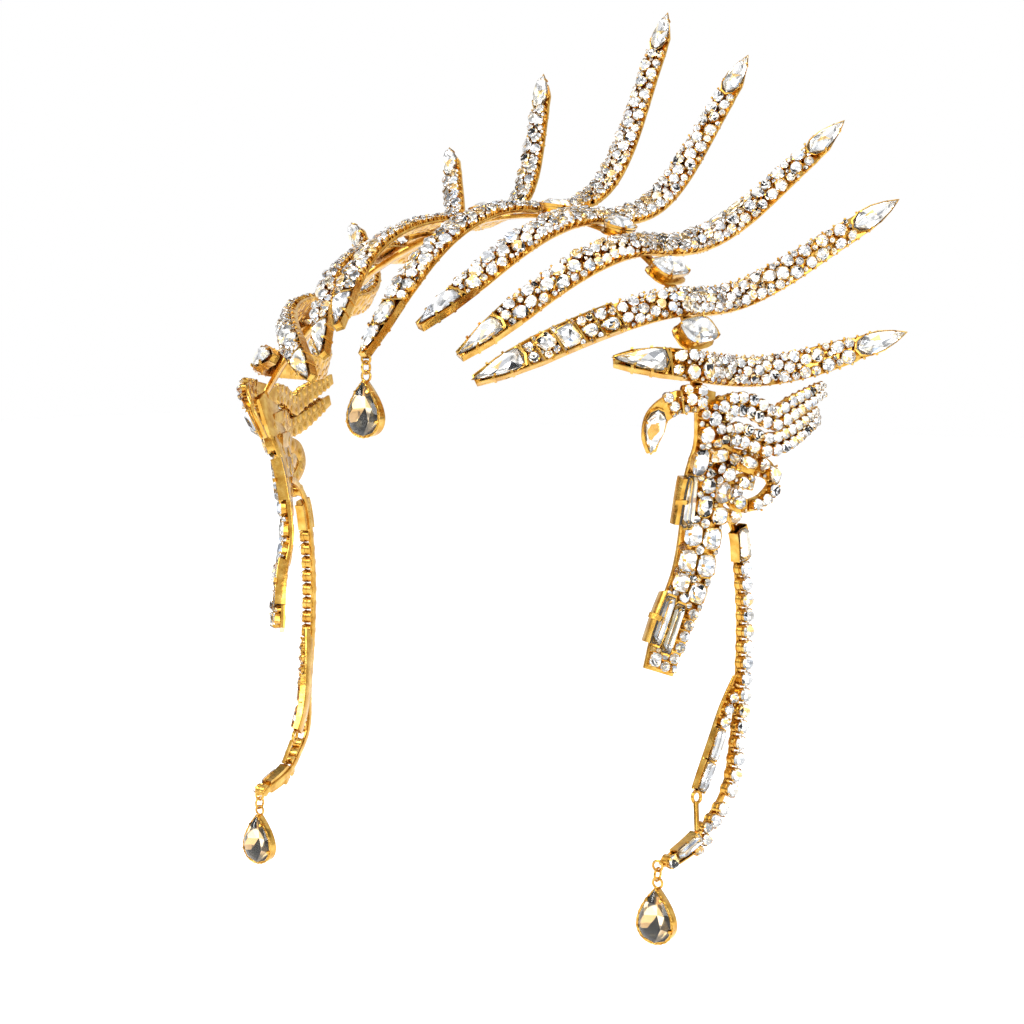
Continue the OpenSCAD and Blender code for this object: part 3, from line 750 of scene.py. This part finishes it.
# Larger stones on two of the rays: kind, distance from the front tip, distance to the side,
# half width and half length in millimetres, and turn in degrees
RAY_SET = {
    2: [("baguette", 150, -3.9, 1, 4.6, 0), ("baguette", 161, -3.7, 1, 4.6, 0)],
    3: [
        ("triangle", 21.3, -1.9, 2.3, 2.2, 30), ("round", 21.4, 2.2, 2, 1.9, 0),
        ("square", 27.4, -1.2, 3.1, 2.9, 25), ("round", 26.3, 3.5, 1.5, 1.5, 0),
        ("triangle", 29.4, 3, 1.7, 1.7, 0), ("square", 35, 0.2, 4.2, 3.5, 6),
        ("round", 41, -2.9, 1.7, 1.7, 0), ("pear", 42.2, 1.3, 2.6, 2.8, 150),
        ("round", 43.9, -3.1, 1.3, 1.3, 0), ("round", 48, -2.7, 2.1, 2.1, 0),
        ("pear", 49.3, 2, 2.4, 3.4, 170), ("triangle", 51.9, -2.3, 1.9, 1.9, 60),
    ],
}
RAY_CELLS = {3: np.array([0.0239, 0.031, 0.039, 0.0455, 0.0535])}

eye_radius = 0.0018
wire_radius = 0.00045
hinge_front = np.array([-0.00384, -0.096, -0.055])
girdle = ray_thick + fit_gap
tip_girdle = girdle + 0.0004
tray = box_walls(0, girdle, 0.0004, base_thick)
seat_room = 0.009
base_edge, end_wall, wall_edge, cell_proud = 0.0003, 0.0005, 0.0001, 0.0003
tip_depth, tip_rise, large_rise, field_rise, pear_rise = 0.0017, 0.0021, 0.0022, 0.0019, 0.0026
field_room = 0.0003
post_step, post_radius, post_sink, post_short = 0.005, 0.00055, 0.0003, 0.0002

# Straps round the box at the front tip, bent in over the edge of the stone
STRAP_PLACES = (0.0058, 0.0122)
strap_width = 0.0009
strap_top = girdle + 0.0009
strap = mirrored([
    (1, -0.0003, -0.0002), (1, -0.0003, strap_top), (1, 0.0006, strap_top + 0.0003),
    (1, 0.0006, strap_top), (1, 0.0001, strap_top - 0.0004), (1, 0.0001, 0.0001),
])

SIDE_RAYS = [(hand, k, f"{side_name}_{k}") for hand, side_name in SIDES for k in (1, 2, 3, 4)]
for hand, k, name in [(1, 0, "centre")] + SIDE_RAYS:
    path = ray_strip(k, hand)
    full = path["s"][-1]
    metal = [
        ribbon(stretch(path, 0, full - 0.25 * tip_length), bar(base_thick, base_edge)),
        ribbon(stretch(path, 0, box_length), tray),
        ribbon(stretch(path, 0, end_wall), bar(girdle, wall_edge)),
    ]
    metal += [ribbon(stretch(path, at, at + strap_width), strap) for at in STRAP_PLACES]

    # A long pointed stone in the box at the front tip, and in the centre ray two shorter ones
    if k == 0:
        field_start = 0.0245
        wide = 1000 * np.interp([0.0066, 0.0182], path["s"], path["half"]) - 0.5
        tip_rows = [("pear", 6.6, 0, wide[0], 6.2, 180), ("marquise", 18.2, 0, wide[1], 5.6, 0)]
        metal.append(cross_bars(path, [0.0128], 0.0, base_thick, tip_girdle))
    else:
        field_start = 0.019
        wide = 1000 * np.interp([0.016], path["s"], path["half"]) + 0.1
        tip_rows = [("arrow", 9.4, 0, wide[0], 9.2, 180)]
    settings = set_rows(path, tip_rows, tip_girdle, tip_depth, 1, tip_rise)
    metal.append(cross_bars(path, [field_start], 0.0, base_thick, tip_girdle))

    # The larger stones that some rays have, in cells with thin walls
    large = RAY_SET.get(k, [])
    settings += set_rows(path, large, girdle, girdle - base_thick, hand, large_rise)
    if k in RAY_CELLS:
        cells = RAY_CELLS[k]
        metal.append(cross_bars(path, cells, 0.1 * hand, base_thick, girdle + cell_proud))
        metal.append(ribbon(stretch(path, box_length, cells[-1]), tray))

    # The field of small stones between, and posts along both edges of the base
    s, v, r = pack_rounds(path, field_start + field_room, full - tip_length - field_room,
                          field_sizes(full), laid_rows(large, hand), 10 * k + hand)
    settings += set_field(path, s, v, r, girdle, field_rise, girdle - base_thick, 20 * k + hand)
    clear = np.abs(s - path["s"][ray_steps - 1]) > seat_room
    metal.append(cup_backs(path, s[clear], v[clear], r[clear], 0))
    metal.append(posts(path, box_length + 0.003, full - 0.6 * tip_length, post_step,
                       base_thick - post_sink, girdle - post_short, post_radius))
    make_stones(f"crystals_ray_{name}", settings, metal, [f"ray_{name}_stones"])

    # The pear at the rear tip
    rows = [("pear", 1000 * (full - tip_length / 2), 0, 500 * tip_width - 0.3, 500 * tip_length, 0)]
    settings = set_rows(path, rows, girdle, girdle - base_thick, 1, pear_rise)
    make_stones(f"point_crystal_{name}", settings, metal, [f"tip_stone_{name}"])
    eyes = [wire_eye(hinge_front + [0, 0, eye_radius])] if k == 0 else []
    make_gold(f"gold_ray_{name}", metal, [f"ray_{name}"], eyes=eyes)


# Side clusters
# At each end of the headband a short wide limb, a long one with a branch, three wings and a
# hook are soldered together from flat bars of sheet. Every crystal has its own box or cup,
# and the round cups of the long limb stand in a row on a narrow spine.
short_out, short_back, short_drop, short_width = 0.013, 0.010, 0.094, 0.014
long_out, long_back, long_drop, long_width = 0.007, 0.032, 0.160, 0.007
wing_out, wing_back, wing_step, wing_width = 0.016, 0.066, 0.005, 0.0076
hook_in, hook_reach, hook_drop, hook_width = 0.0125, 0.0135, 0.0155, 0.008
limb_thick = 0.0026
stem_proud = 0.0006
ear = np.array([0.096857, -0.041768, -0.067907])
hinge_side = np.array([0.089857, -0.055208, -0.229707])
# Columns: outwards, backwards and upwards from the headband's end as shares of the strip's
# lengths, share of the width, and the turn of the face towards the front in degrees
SHORT = [
    (0.12, 0.3, 0, 0.9, 20), (0.03, 0.9, -0.15, 1.25, 22), (-0.25, 1.1, -0.3, 1.25, 29),
    (-0.4, 1.1, -0.48, 1.1, 36), (-0.55, 0.9, -0.65, 1.05, 42), (-0.75, 0.1, -0.82, 1, 43),
    (-1, -0.4, -1, 0.8, 43),
]
LONG = [
    (-0.62, 0.35, -0.22, 1, 20), (-0.05, 0.64, -0.24, 1, 15), (0.15, 0.86, -0.29, 1, 10),
    (0.15, 0.94, -0.37, 1, 8), (0.2, 1, -0.5, 1, 6), (0.2, 0.97, -0.64, 1, 8),
    (0.15, 0.88, -0.77, 1, 10), (-0.05, 0.8, -0.87, 1, 14), (-0.3, 0.55, -0.93, 0.95, 18),
    (-0.65, 0.2, -0.972, 0.9, 20), (-1, -0.42, -1, 0.6, 20),
]
BRANCH = [
    (0.08, 0.92, -0.62, 0.7, 0), (-0.35, 0.8, -0.69, 0.75, 10), (-0.7, 0.68, -0.77, 0.8, 15),
    (-0.9, 0.55, -0.83, 0.8, 20), (-1, 0.42, -0.87, 0.7, 20),
]
WING_A = [
    (0.08, 0.09, -0.6, 0.9, 20), (0.23, 0.24, -0.2, 1, 18), (0.42, 0.36, -0.4, 1, 15),
    (0.65, 0.52, -1.3, 1, 15), (0.8, 0.66, -0.6, 1, 12), (1, 1, 0.8, 0.6, 10),
]
WING_B = [
    (0.02, 0.13, -2.4, 0.9, 20), (0.23, 0.29, -2.3, 1, 18), (0.62, 0.45, -3.1, 1, 15),
    (0.8, 0.65, -2.6, 1, 12), (0.96, 0.96, -1, 0.6, 10),
]
WING_C = [
    (-0.15, 0.155, -4, 0.9, 20), (0.14, 0.3, -4.05, 1, 18), (0.45, 0.4, -4.5, 1, 15),
    (0.58, 0.52, -5, 0.9, 12), (0.6, 0.56, -6.1, 0.75, 8), (0.5, 0.48, -7.1, 0.7, 8),
    (0.38, 0.38, -7.4, 0.6, 10),
]
CURL_INNER = [
    (0.38, 0.38, -7.4, 0.6, 10), (0.22, 0.33, -7.3, 0.75, 10), (0.12, 0.3, -6.7, 0.8, 12),
    (0.14, 0.31, -6, 0.8, 12), (0.28, 0.38, -5.7, 0.8, 10), (0.4, 0.44, -6, 0.6, 10),
]
HOOK = [
    (0.16, 0.4, 0, 0.9, 20), (0, -0.25, 0.05, 1, 22), (-0.3, -0.85, 0, 1, 28),
    (-0.7, -1.1, -0.3, 1, 35), (-0.9, -1, -0.7, 0.9, 40), (-1, -0.85, -1.05, 0.45, 40),
]
# Stones: kind, distance from the strip's root, distance to its front edge's side, half
# width and half length in millimetres, and turn in degrees
SHORT_SET = [
    ("round", 2.6, -4, 2.3, 2.3, 0), ("round", 5.2, 0.8, 2.7, 2.7, 0),
    ("round", 9.9, -1.4, 2, 2, 0), ("round", 9.6, 5.2, 3.1, 3.1, 0),
    ("triangle", 14.4, 0.6, 2.1, 2.1, 30),
    ("cushion", 19.2, -1.4, 3.7, 2.3, 0), ("cushion", 21, 6.4, 3.1, 5, 0),
    ("triangle", 20.6, -8.2, 2.6, 2.8, 0), ("round", 26, -7.6, 2.6, 2.6, 0),
    ("triangle", 25.4, 0.8, 2.3, 2.3, 90), ("round", 30.4, 0.2, 2.9, 2.9, 0),
    ("cushion", 33.2, -6.2, 3.2, 3.8, 8), ("baguette", 36.6, 6.9, 2.1, 8.8, 0),
    ("cushion", 38.2, 0.5, 3, 3.8, 0), ("cushion", 41.4, -5.9, 2.9, 3.1, -5),
    ("cushion", 48.6, 3.4, 3.4, 4, 4), ("cushion", 49.4, -4.1, 3.4, 3.9, -4),
    ("cushion", 58.4, 3.7, 3.3, 4, 0), ("cushion", 59, -3.7, 3.3, 4, 4),
    ("round", 64.8, 0.1, 1.4, 1.4, 0), ("cushion", 67.9, 3.8, 3.1, 3.3, 0),
    ("cushion", 69, -3.4, 3.2, 3.7, 0), ("baguette", 82.2, 4.7, 1.8, 8.4, 0),
    ("baguette", 83.6, 0.3, 1.8, 8.6, 0), ("round", 76.4, -4.8, 1.9, 1.9, 0),
    ("round", 80.6, -4.7, 1.9, 1.9, 0), ("round", 84.8, -4.5, 1.9, 1.9, 0),
    ("round", 89, -4.2, 1.9, 1.9, 0), ("round", 93.2, -3.4, 1.9, 1.9, 0),
    ("square", 95.4, 3.2, 2.1, 2.4, 0), ("round", 96.8, -0.9, 1.8, 1.8, 0),
]
LONG_SET = [("round", 14.4, 0, 2.6, 2.6, 0), ("baguette", 26.6, 0, 2.3, 5.6, 0)] + [
    ("round", at, 0, 2.75, 2.75, 0) for at in np.arange(35.6, 120, 5.75)
] + [
    ("round", 124.2, 0, 2.6, 2.6, 0), ("round", 129.7, 0.2, 2.5, 2.5, 0),
    ("round", 134.4, 1.5, 1.9, 1.9, 0), ("round", 137, -2, 2.1, 2.1, 0),
    ("round", 142.4, -2.5, 2, 2, 0), ("baguette", 146.6, 1, 1.8, 6.6, 0),
    ("round", 157.4, 0, 2.4, 2.4, 0),
]
BRANCH_SET = [
    ("round", 7.4, 0, 2, 2, 0), ("round", 12.2, 0, 2.1, 2.1, 0), ("round", 17, 0, 2.1, 2.1, 0),
    ("baguette", 25.6, 0, 1.9, 5.6, 0), ("baguette", 38, 0, 1.8, 5.4, 0),
]
CURL_SET = [
    ("triangle", 11.6, 0, 2.7, 2.7, 30), ("oval", 17, 0.2, 2, 3.6, 0),
    ("triangle", 22.8, -0.6, 2.9, 2.9, 0), ("pear", 29.6, 0, 2.7, 3.9, 180),
    ("round", 36, 0, 2.4, 2.4, 0), ("oval", 41, 0, 2.1, 2.4, 0), ("round", 46, 0, 2.1, 2.1, 0),
]
INNER_SET = [
    ("round", 4, 0.5, 2.5, 2.5, 0), ("round", 9.8, 0.6, 2.9, 2.9, 0), ("round", 16, 0, 2.2, 2.2, 0),
]
HOOK_SET = [
    ("round", 8.4, 3.3, 1.9, 1.9, 0), ("round", 8.6, -0.8, 2.1, 2.1, 0),
    ("round", 12.9, 0.6, 2.1, 2.1, 0), ("round", 14, 4, 1.7, 1.7, 0),
    ("round", 18.9, -0.4, 1.8, 1.8, 0), ("round", 19.4, 3.3, 1.8, 1.8, 0),
]
GAP_SIZES = (0.0019, 0.0015, 0.0012, 0.0009)

# Heights of the girdles and the cups' feet on the short limb and the others, the bars, and
# the long limb's spine, which stops short of its end and has a thinner neck there
stem_top = limb_thick + 2 * stem_proud + fit_gap
limb_top = limb_thick + stem_proud + fit_gap
short_foot, cup_foot = 0.0014, 0.0016
short_bar, wing_bar, bar_edge = 0.0018, 0.0014, 0.0003
spine_half, spine_thick, spine_low = 0.0013, 0.0013, -0.0009
spine_end, neck_half, neck_flare = 0.002, 0.0006, 0.9
fill_drop, fill_rise = 0.0004, 0.0016
# The wall, strap and painted shade line, a black strip for the shadowed gap, beside a long
# stone: distances to the side and half length in millimetres, then half widths and thicknesses
line_off, wall_off, strap_reach = 0.3, 1.6, 0.8
wall_half, wall_proud, strap_half, strap_thick = 0.0009, 0.0004, 0.0028, 0.0012
line_half, line_proud, line_edge = 0.0005, 0.0003, 0.0002
# The wall before the hook's pear, the ring at the branch's end, and its link
hook_wall, hook_wall_low, hook_wall_half = 0.0163, 0.001, 0.0004
branch_ring, branch_wire, ring_out, ring_low = 0.0021, 0.00065, 0.0022, 0.001
link_at, link_aside, link_up, link_half, link_edge = 0.139, 0.003, 0.0016, 0.0009, 0.0004
# A cup of the long limb, with two rims round it
cup_depth = 0.0038
CUP = ringed(outline("round", 16), [
    (0.8, 0.8, -1), (0.98, 0.98, -0.94), (0.98, 0.98, -0.86), (0.9, 0.9, -0.83),
    (0.9, 0.9, -0.44), (0.99, 0.99, -0.41), (0.99, 0.99, -0.33), (0.91, 0.91, -0.3),
    (0.98, 0.98, -0.04), (0.9, 0.9, -0.04), (0.8, 0.8, -0.52),
])


def limb_strip(rows, lengths, width, hand):
    """A strip through a table's rows: the Catmull-Rom curve of all five columns, with six
    steps to a row, from the end of the headband and mirrored for the wearer's right."""
    rows = np.array(rows)
    i = np.arange(len(rows) - 1)[:, None]
    u = np.arange(6)[None, :, None] / 6
    a, b = rows[np.maximum(i - 1, 0)], rows[i]
    c, d = rows[i + 1], rows[np.minimum(i + 2, len(rows) - 1)]
    fine = 0.5 * (2 * b + (c - a) * u + (2 * a - 5 * b + 4 * c - d) * u ** 2
                  + (3 * b - a - 3 * c + d) * u ** 3)
    fine = np.concatenate([fine.reshape(-1, 5), rows[-1:]])
    turn = np.radians(fine[:, 4])
    mirror = np.array([hand, 1, 1])
    facing = np.stack([np.cos(turn), -np.sin(turn), 0 * turn], 1)
    return strip((fine[:, :3] * lengths + ear) * mirror, facing * mirror, fine[:, 3] * width / 2)


def beside(path, across, half):
    """A strip that runs beside another, at a distance to its side and with its own half width."""
    return dict(path, place=path["place"] + across * path["side"], half=0 * path["s"] + half)


def paired(path, start):
    """Rows of a table for two rows of rounds to near the end of a strip that narrows. Their
    radii are 0.6 of the half width in front and 0.57 behind, and each pair is one stone
    further on than the last."""
    rows = []
    s = start
    while s < 1000 * path["s"][-1] - 5:
        size = 610 * np.interp(s / 1000, path["s"], path["half"])
        rows += [("round", s + size, 0.98 * size, 0.98 * size, 0.98 * size, 0),
                 ("round", s + size + 0.4, -0.98 * size, 0.93 * size, 0.93 * size, 0)]
        s += 1.96 * size
    return rows


def mosaic(path, rows, start, stop, sizes, height, depth, hand, seed):
    """A table's stones on a strip, and small rounds in all the room that they leave."""
    sizes = [(size, 3, 0, 1) for size in sizes]
    s, v, r = pack_rounds(path, start, stop, sizes, laid_rows(rows, hand), seed)
    return set_rows(path, rows, height, depth, hand) \
        + set_field(path, s, v, r, height - fill_drop, fill_rise, depth, seed)


def guard(path, stone, hand, metal):
    """A wall of sheet beside a long stone with a strap across its middle, for the list of
    gold, and between the two a painted shade line, a black strip for the shadowed gap, which
    is returned."""
    kind, at, lane, wide, reach, turn = stone
    stone_side = stretch(path, (at - reach) / 1000, (at + reach) / 1000)
    strap = stretch(path, (at - strap_reach) / 1000, (at + strap_reach) / 1000)
    line = hand * (lane + wide + line_off) / 1000
    wall = hand * (lane + wide + wall_off) / 1000
    metal += [ribbon(beside(stone_side, wall, wall_half), bar(stem_top + wall_proud, bar_edge)),
              ribbon(beside(strap, wall, strap_half), bar(strap_thick, bar_edge, stem_top))]
    return ribbon(beside(stone_side, line, line_half), bar(stem_top + line_proud, line_edge))


for hand, side_name in SIDES:
    short = limb_strip(SHORT, (short_out, short_back, short_drop), short_width, hand)
    long, branch = (limb_strip(rows, (long_out, long_back, long_drop), long_width, hand)
                    for rows in (LONG, BRANCH))
    hook = limb_strip(HOOK, (hook_in, hook_reach, hook_drop), hook_width, hand)
    wings = [limb_strip(rows, (wing_out, wing_back, wing_step), wing_width, hand)
             for rows in (WING_A, WING_B, WING_C, CURL_INNER)]

    # Bars of sheet, and a spine for the long limb that is narrow where the jump ring swings
    metal = [ribbon(short, bar(short_bar, bar_edge)),
             cross_bars(hook, [hook_wall], 0.0, hook_wall_low, limb_top + fit_gap,
                        hook_wall_half)]
    metal += [ribbon(path, bar(wing_bar, bar_edge, stem_proud))
              for path in [branch, hook] + wings]
    spine = stretch(long, 0, long["s"][-1] - spine_end)
    half = np.minimum(neck_half + neck_flare * (spine["s"][-1] - spine["s"]), spine_half)
    metal.append(ribbon(beside(spine, 0, half), bar(spine_thick, bar_edge, spine_low)))
    s, v, r = spots([row for row in LONG_SET if row[0] == "round"], hand)
    origin, axes = seats(long, s, v, limb_top)
    metal.append(repeated(CUP, origin, axes, (r, r, cup_depth)))
    outer_long = [row for row in SHORT_SET if row[0] == "baguette" and row[2] > 4]
    edge_lines = [guard(short, stone, hand, metal) for stone in outer_long]

    # A ring at the end of the branch, and a link from it to the long limb
    end, axes = seats(branch, branch["s"][-1:], 0, limb_top - ring_low)
    middle = end[0] + ring_out * axes[0, 1]
    metal.append(torus(middle, axes[0, 0], axes[0, 1], branch_ring, branch_wire))
    foot = seats(long, np.array([link_at]), hand * link_aside, link_up)[0][0]
    link = strip(np.linspace(middle + branch_ring * axes[0, 1], foot, 6), axes[0, 2],
                 np.full(6, link_half))
    metal.append(ribbon(link, bar(wing_bar, link_edge)))

    # The stones of the limbs, with walls round each long stone of the long limb and branch
    settings = mosaic(short, SHORT_SET, 0.0, short["s"][-1] - 0.001, GAP_SIZES, stem_top,
                      stem_top - short_foot, hand, 3)
    low_set = [row for row in SHORT_SET if row[1] > 14]
    metal.append(cup_backs(short, *spots(low_set, hand), 0))
    for path, rows, low in ((long, LONG_SET, -0.0003), (branch, BRANCH_SET, 0.0014)):
        settings += set_rows(path, rows, limb_top, limb_top - cup_foot, hand)
        if path is branch:
            metal.append(posts(path, 0.004, 0.018, 0.0029, 0.001, limb_top + 0.0002, 0.0006))
        walls = box_walls(low, limb_top, 0.0005, low + 0.0005)
        boxes = [(row[1], row[4] + 0.4) for row in rows if row[0] == "baguette"]
        metal += [ribbon(stretch(path, (at - reach) / 1000, (at + reach) / 1000), walls)
                  for at, reach in boxes]
    # The painted shade lines beside the outer baguettes go with the stones
    settings.append({"stone": [], "foil": [], "edge": edge_lines, "metal": []})
    make_stones(f"crystals_limbs_{side_name}", settings, metal, [f"limb_stones_{side_name}"])

    # The stones of the wings, the curl and the hook
    settings = []
    for path, rows, start in (
            (wings[0], paired(wings[0], 7), 0.003), (wings[1], paired(wings[1], 8), 0.006),
            (wings[2], CURL_SET, 0.008), (wings[3], INNER_SET, 0), (hook, HOOK_SET, 0.005)):
        stop = path["s"][-1] - (0.0176 if path is hook else 0.001)
        settings += mosaic(path, rows, start, stop, GAP_SIZES[1:], limb_top,
                           limb_top - cup_foot, hand, 5)
        metal.append(posts(path, 0.01, stop - 0.002, 0.0048, 0.001, limb_top - 0.0002, 0.0005))
        metal.append(cup_backs(path, *spots(rows, hand), stem_proud))
    make_stones(f"crystals_wings_{side_name}", settings, metal, [f"upper_stones_{side_name}"])

    rows = [("pear", 1000 * hook["s"][-1] - 8.8, 0, 3.6, 8, 0)]
    settings = set_rows(hook, rows, limb_top, limb_top - 0.0012, hand, 0.0022)
    make_stones(f"point_crystal_hook_{side_name}", settings, metal, [f"hook_stone_{side_name}"])
    eye = wire_eye(hinge_side * [hand, 1, 1] + [0, 0, eye_radius])
    make_gold(f"gold_side_{side_name}", metal, [f"side_frame_{side_name}"], eyes=[eye])


# Drops
# Three pear crystals, each in a bezel of gold sheet with a twisted wire round its edge and
# four claws. An eye soldered on top hangs in a jump ring, and that in a fixed eye.
drop_width = 0.0145
drop_height = 0.020
drop_thick = 0.004
link_radius = 0.0022
link_gap = 0.0001
ring_down = link_radius - 2 * wire_radius - link_gap
neck = ring_down + link_radius - 2 * wire_radius - link_gap
pear_down = neck + 2 * eye_radius + drop_height / 2 - wire_radius
twist_wire = 0.00028
stone_wide, stone_long, stone_high = 0.0132, 0.0188, 0.003
stone_depth, stone_claw = 0.0016, 0.0006
BEZEL = ringed(outline("pear", 48), [
    (0.78, 0.82, -1), (0.9, 0.92, -0.96), (0.98, 0.98, -0.7), (0.98, 0.98, 0.9), (0.93, 0.94, 1.1),
    (0.88, 0.91, 1.1), (0.86, 0.89, 0.95), (0.7, 0.75, 0.3),
])


def twisted_edge(middle, axes, half_wide, half_long, height, wire):
    """Two wires twisted together along a pear outline. The section is one plus 0.3 of
    cos(2 a - twist) thick, and the twist makes 26 turns along the edge."""
    steps, corners = 260, 10
    edge = outline("pear", steps)
    line = edge[:, :1] * half_wide * axes[0] + edge[:, 1:] * half_long * axes[1] + height * axes[2]
    travel = unit(np.roll(line, -1, 0) - np.roll(line, 1, 0))
    across = np.cross(travel, axes[2])
    a = 2 * np.pi * np.arange(corners) / corners
    twist = 26 * 2 * np.pi * np.arange(steps) / steps
    thick = wire * (1 + 0.3 * np.cos(2 * a[None] - twist[:, None]))
    rings = line[:, None] + (thick * np.cos(a))[..., None] * across[:, None] \
        + (thick * np.sin(a))[..., None] * axes[2]
    quads = ring_quads(steps, corners, True).ravel()
    return middle + rings.reshape(-1, 3), quads, np.full(steps * corners, 4)


# Smoky champagne crystal over a bronze foil, whose facets carry painted reflections and
# shade, dark in some and bright or orange in others
CHAMPAGNE_SHADES = [(0.0, (0.98, 0.88, 0.72)), (0.55, (0.98, 0.8, 0.55)), (0.85, (1.0, 0.93, 0.85))]
BRONZE_SHADES = [
    (0.0, (0.012, 0.012, 0.01)), (0.16, (0.16, 0.14, 0.09)), (0.34, (0.7, 0.52, 0.3)),
    (0.6, (0.98, 0.92, 0.82)), (0.86, (0.85, 0.4, 0.08)),
]
champagne, tree, shader = make_material("champagne_crystal", {
    "Transmission Weight": 1, "Roughness": 0.01, "IOR": 1.55,
})
facet_shades(tree, shader, CHAMPAGNE_SHADES)
# The bronze foil's facet colours are painted reflections and shade, and its glow is painted light
foil_bronze, tree, shader = make_material("bronze_foil", {"Metallic": 1, "Roughness": 0.08})
facet_shades(tree, shader, BRONZE_SHADES, glow=0.15)

DROPS = [("front", hinge_front), ("left", hinge_side), ("right", hinge_side * [-1, 1, 1])]
for name, hinge in DROPS:
    body = f"drop_{name}"
    ring = torus(hinge - [0, 0, ring_down], [0, 1, 0], [0, 0, 1], link_radius, wire_radius)
    make_gold(f"gold_jump_ring_{name}", [ring], [f"jump_ring_{name}"], body)

    # The stone faces the front, on the front of its bezel
    axes = np.array([[1, 0, 0], [0, 0, 1], [0, -1, 0]])
    middle = hinge - [0, 0, pear_down]
    front = middle - [0, drop_thick / 2 + fit_gap, 0]
    setting = set_stones("pear", front[None], axes[None], stone_wide / 2, stone_long / 2,
                         stone_high, stone_depth, stone_claw, 12)
    setting["edge"] = []
    metal = [repeated(BEZEL, middle[None], axes[None],
                      (drop_width / 2, drop_height / 2, drop_thick / 2))]
    metal.append(twisted_edge(middle, axes, 0.485 * drop_width, 0.49 * drop_height,
                              0.5 * drop_thick, twist_wire))
    metal += setting["metal"][1:]
    eye = wire_eye(hinge - [0, 0, neck + eye_radius])
    make_gold(f"gold_drop_{name}", metal, [f"drop_setting_{name}"], body, [eye])
    make_stones(f"champagne_drop_{name}", [setting], [], [f"drop_stone_{name}"], body,
                champagne, foil_bronze)


# Floor and light
# A plain pale floor below the hanging drops. Three large soft boxes light the piece from the
# upper left, the right and above, and the room gives the metal something darker to mirror.
floor_height = -0.305
floor_reach = 4.0

floor_mesh = bpy.data.meshes.new("floor")
floor_mesh.from_pydata([
    (-floor_reach, -floor_reach, floor_height), (floor_reach, -floor_reach, floor_height),
    (floor_reach, floor_reach, floor_height), (-floor_reach, floor_reach, floor_height),
], [], [(0, 1, 2, 3)])
floor = bpy.data.objects.new("floor", floor_mesh)
bpy.context.scene.collection.objects.link(floor)
pale, tree, shader = make_material("pale_floor", {
    "Base Color": (0.9, 0.9, 0.9, 1), "Roughness": 0.9, "Emission Color": (1, 1, 1, 1),
    "Emission Strength": 0.35,
})
floor_mesh.materials.append(pale)


def soft_box(name, spot, size, power):
    """A square light that faces the piece from its spot."""
    lamp = bpy.data.lights.new(name, "AREA")
    lamp.size = size
    lamp.energy = power
    box = bpy.data.objects.new(name, lamp)
    box.matrix_world = pose_at(spot, unit(spot - camera_aim))
    bpy.context.scene.collection.objects.link(box)


soft_box("key_light", (-0.5, -1.3, 1.1), 0.9, 22)
soft_box("fill_light", (1.6, -0.6, 0.5), 0.9, 12)
soft_box("top_light", (0.1, 0.3, 1.7), 1.2, 16)

world = bpy.data.worlds.new("room")
bpy.context.scene.world = world
world.use_nodes = True
tree = world.node_tree
sky = set_sockets(tree.nodes["Background"], {"Strength": 1})
levels = ramp(tree, [(0.36, (0.2, 0.2, 0.2)), (0.44, (1.0, 1.0, 1.0))])
plain = set_sockets(tree.nodes.new("ShaderNodeBackground"), {"Color": (1, 1, 1, 1)})
seen = tree.nodes.new("ShaderNodeLightPath")
mix = tree.nodes.new("ShaderNodeMixShader")
tree.links.new(grain(tree, 1.6, 1, "Generated"), levels.inputs["Fac"])
tree.links.new(levels.outputs["Color"], sky.inputs["Color"])
tree.links.new(seen.outputs["Is Camera Ray"], mix.inputs["Fac"])
tree.links.new(sky.outputs["Background"], mix.inputs[1])
tree.links.new(plain.outputs["Background"], mix.inputs[2])
tree.links.new(mix.outputs["Shader"], tree.nodes["World Output"].inputs["Surface"])
bpy.context.scene.view_settings.view_transform = "Standard"
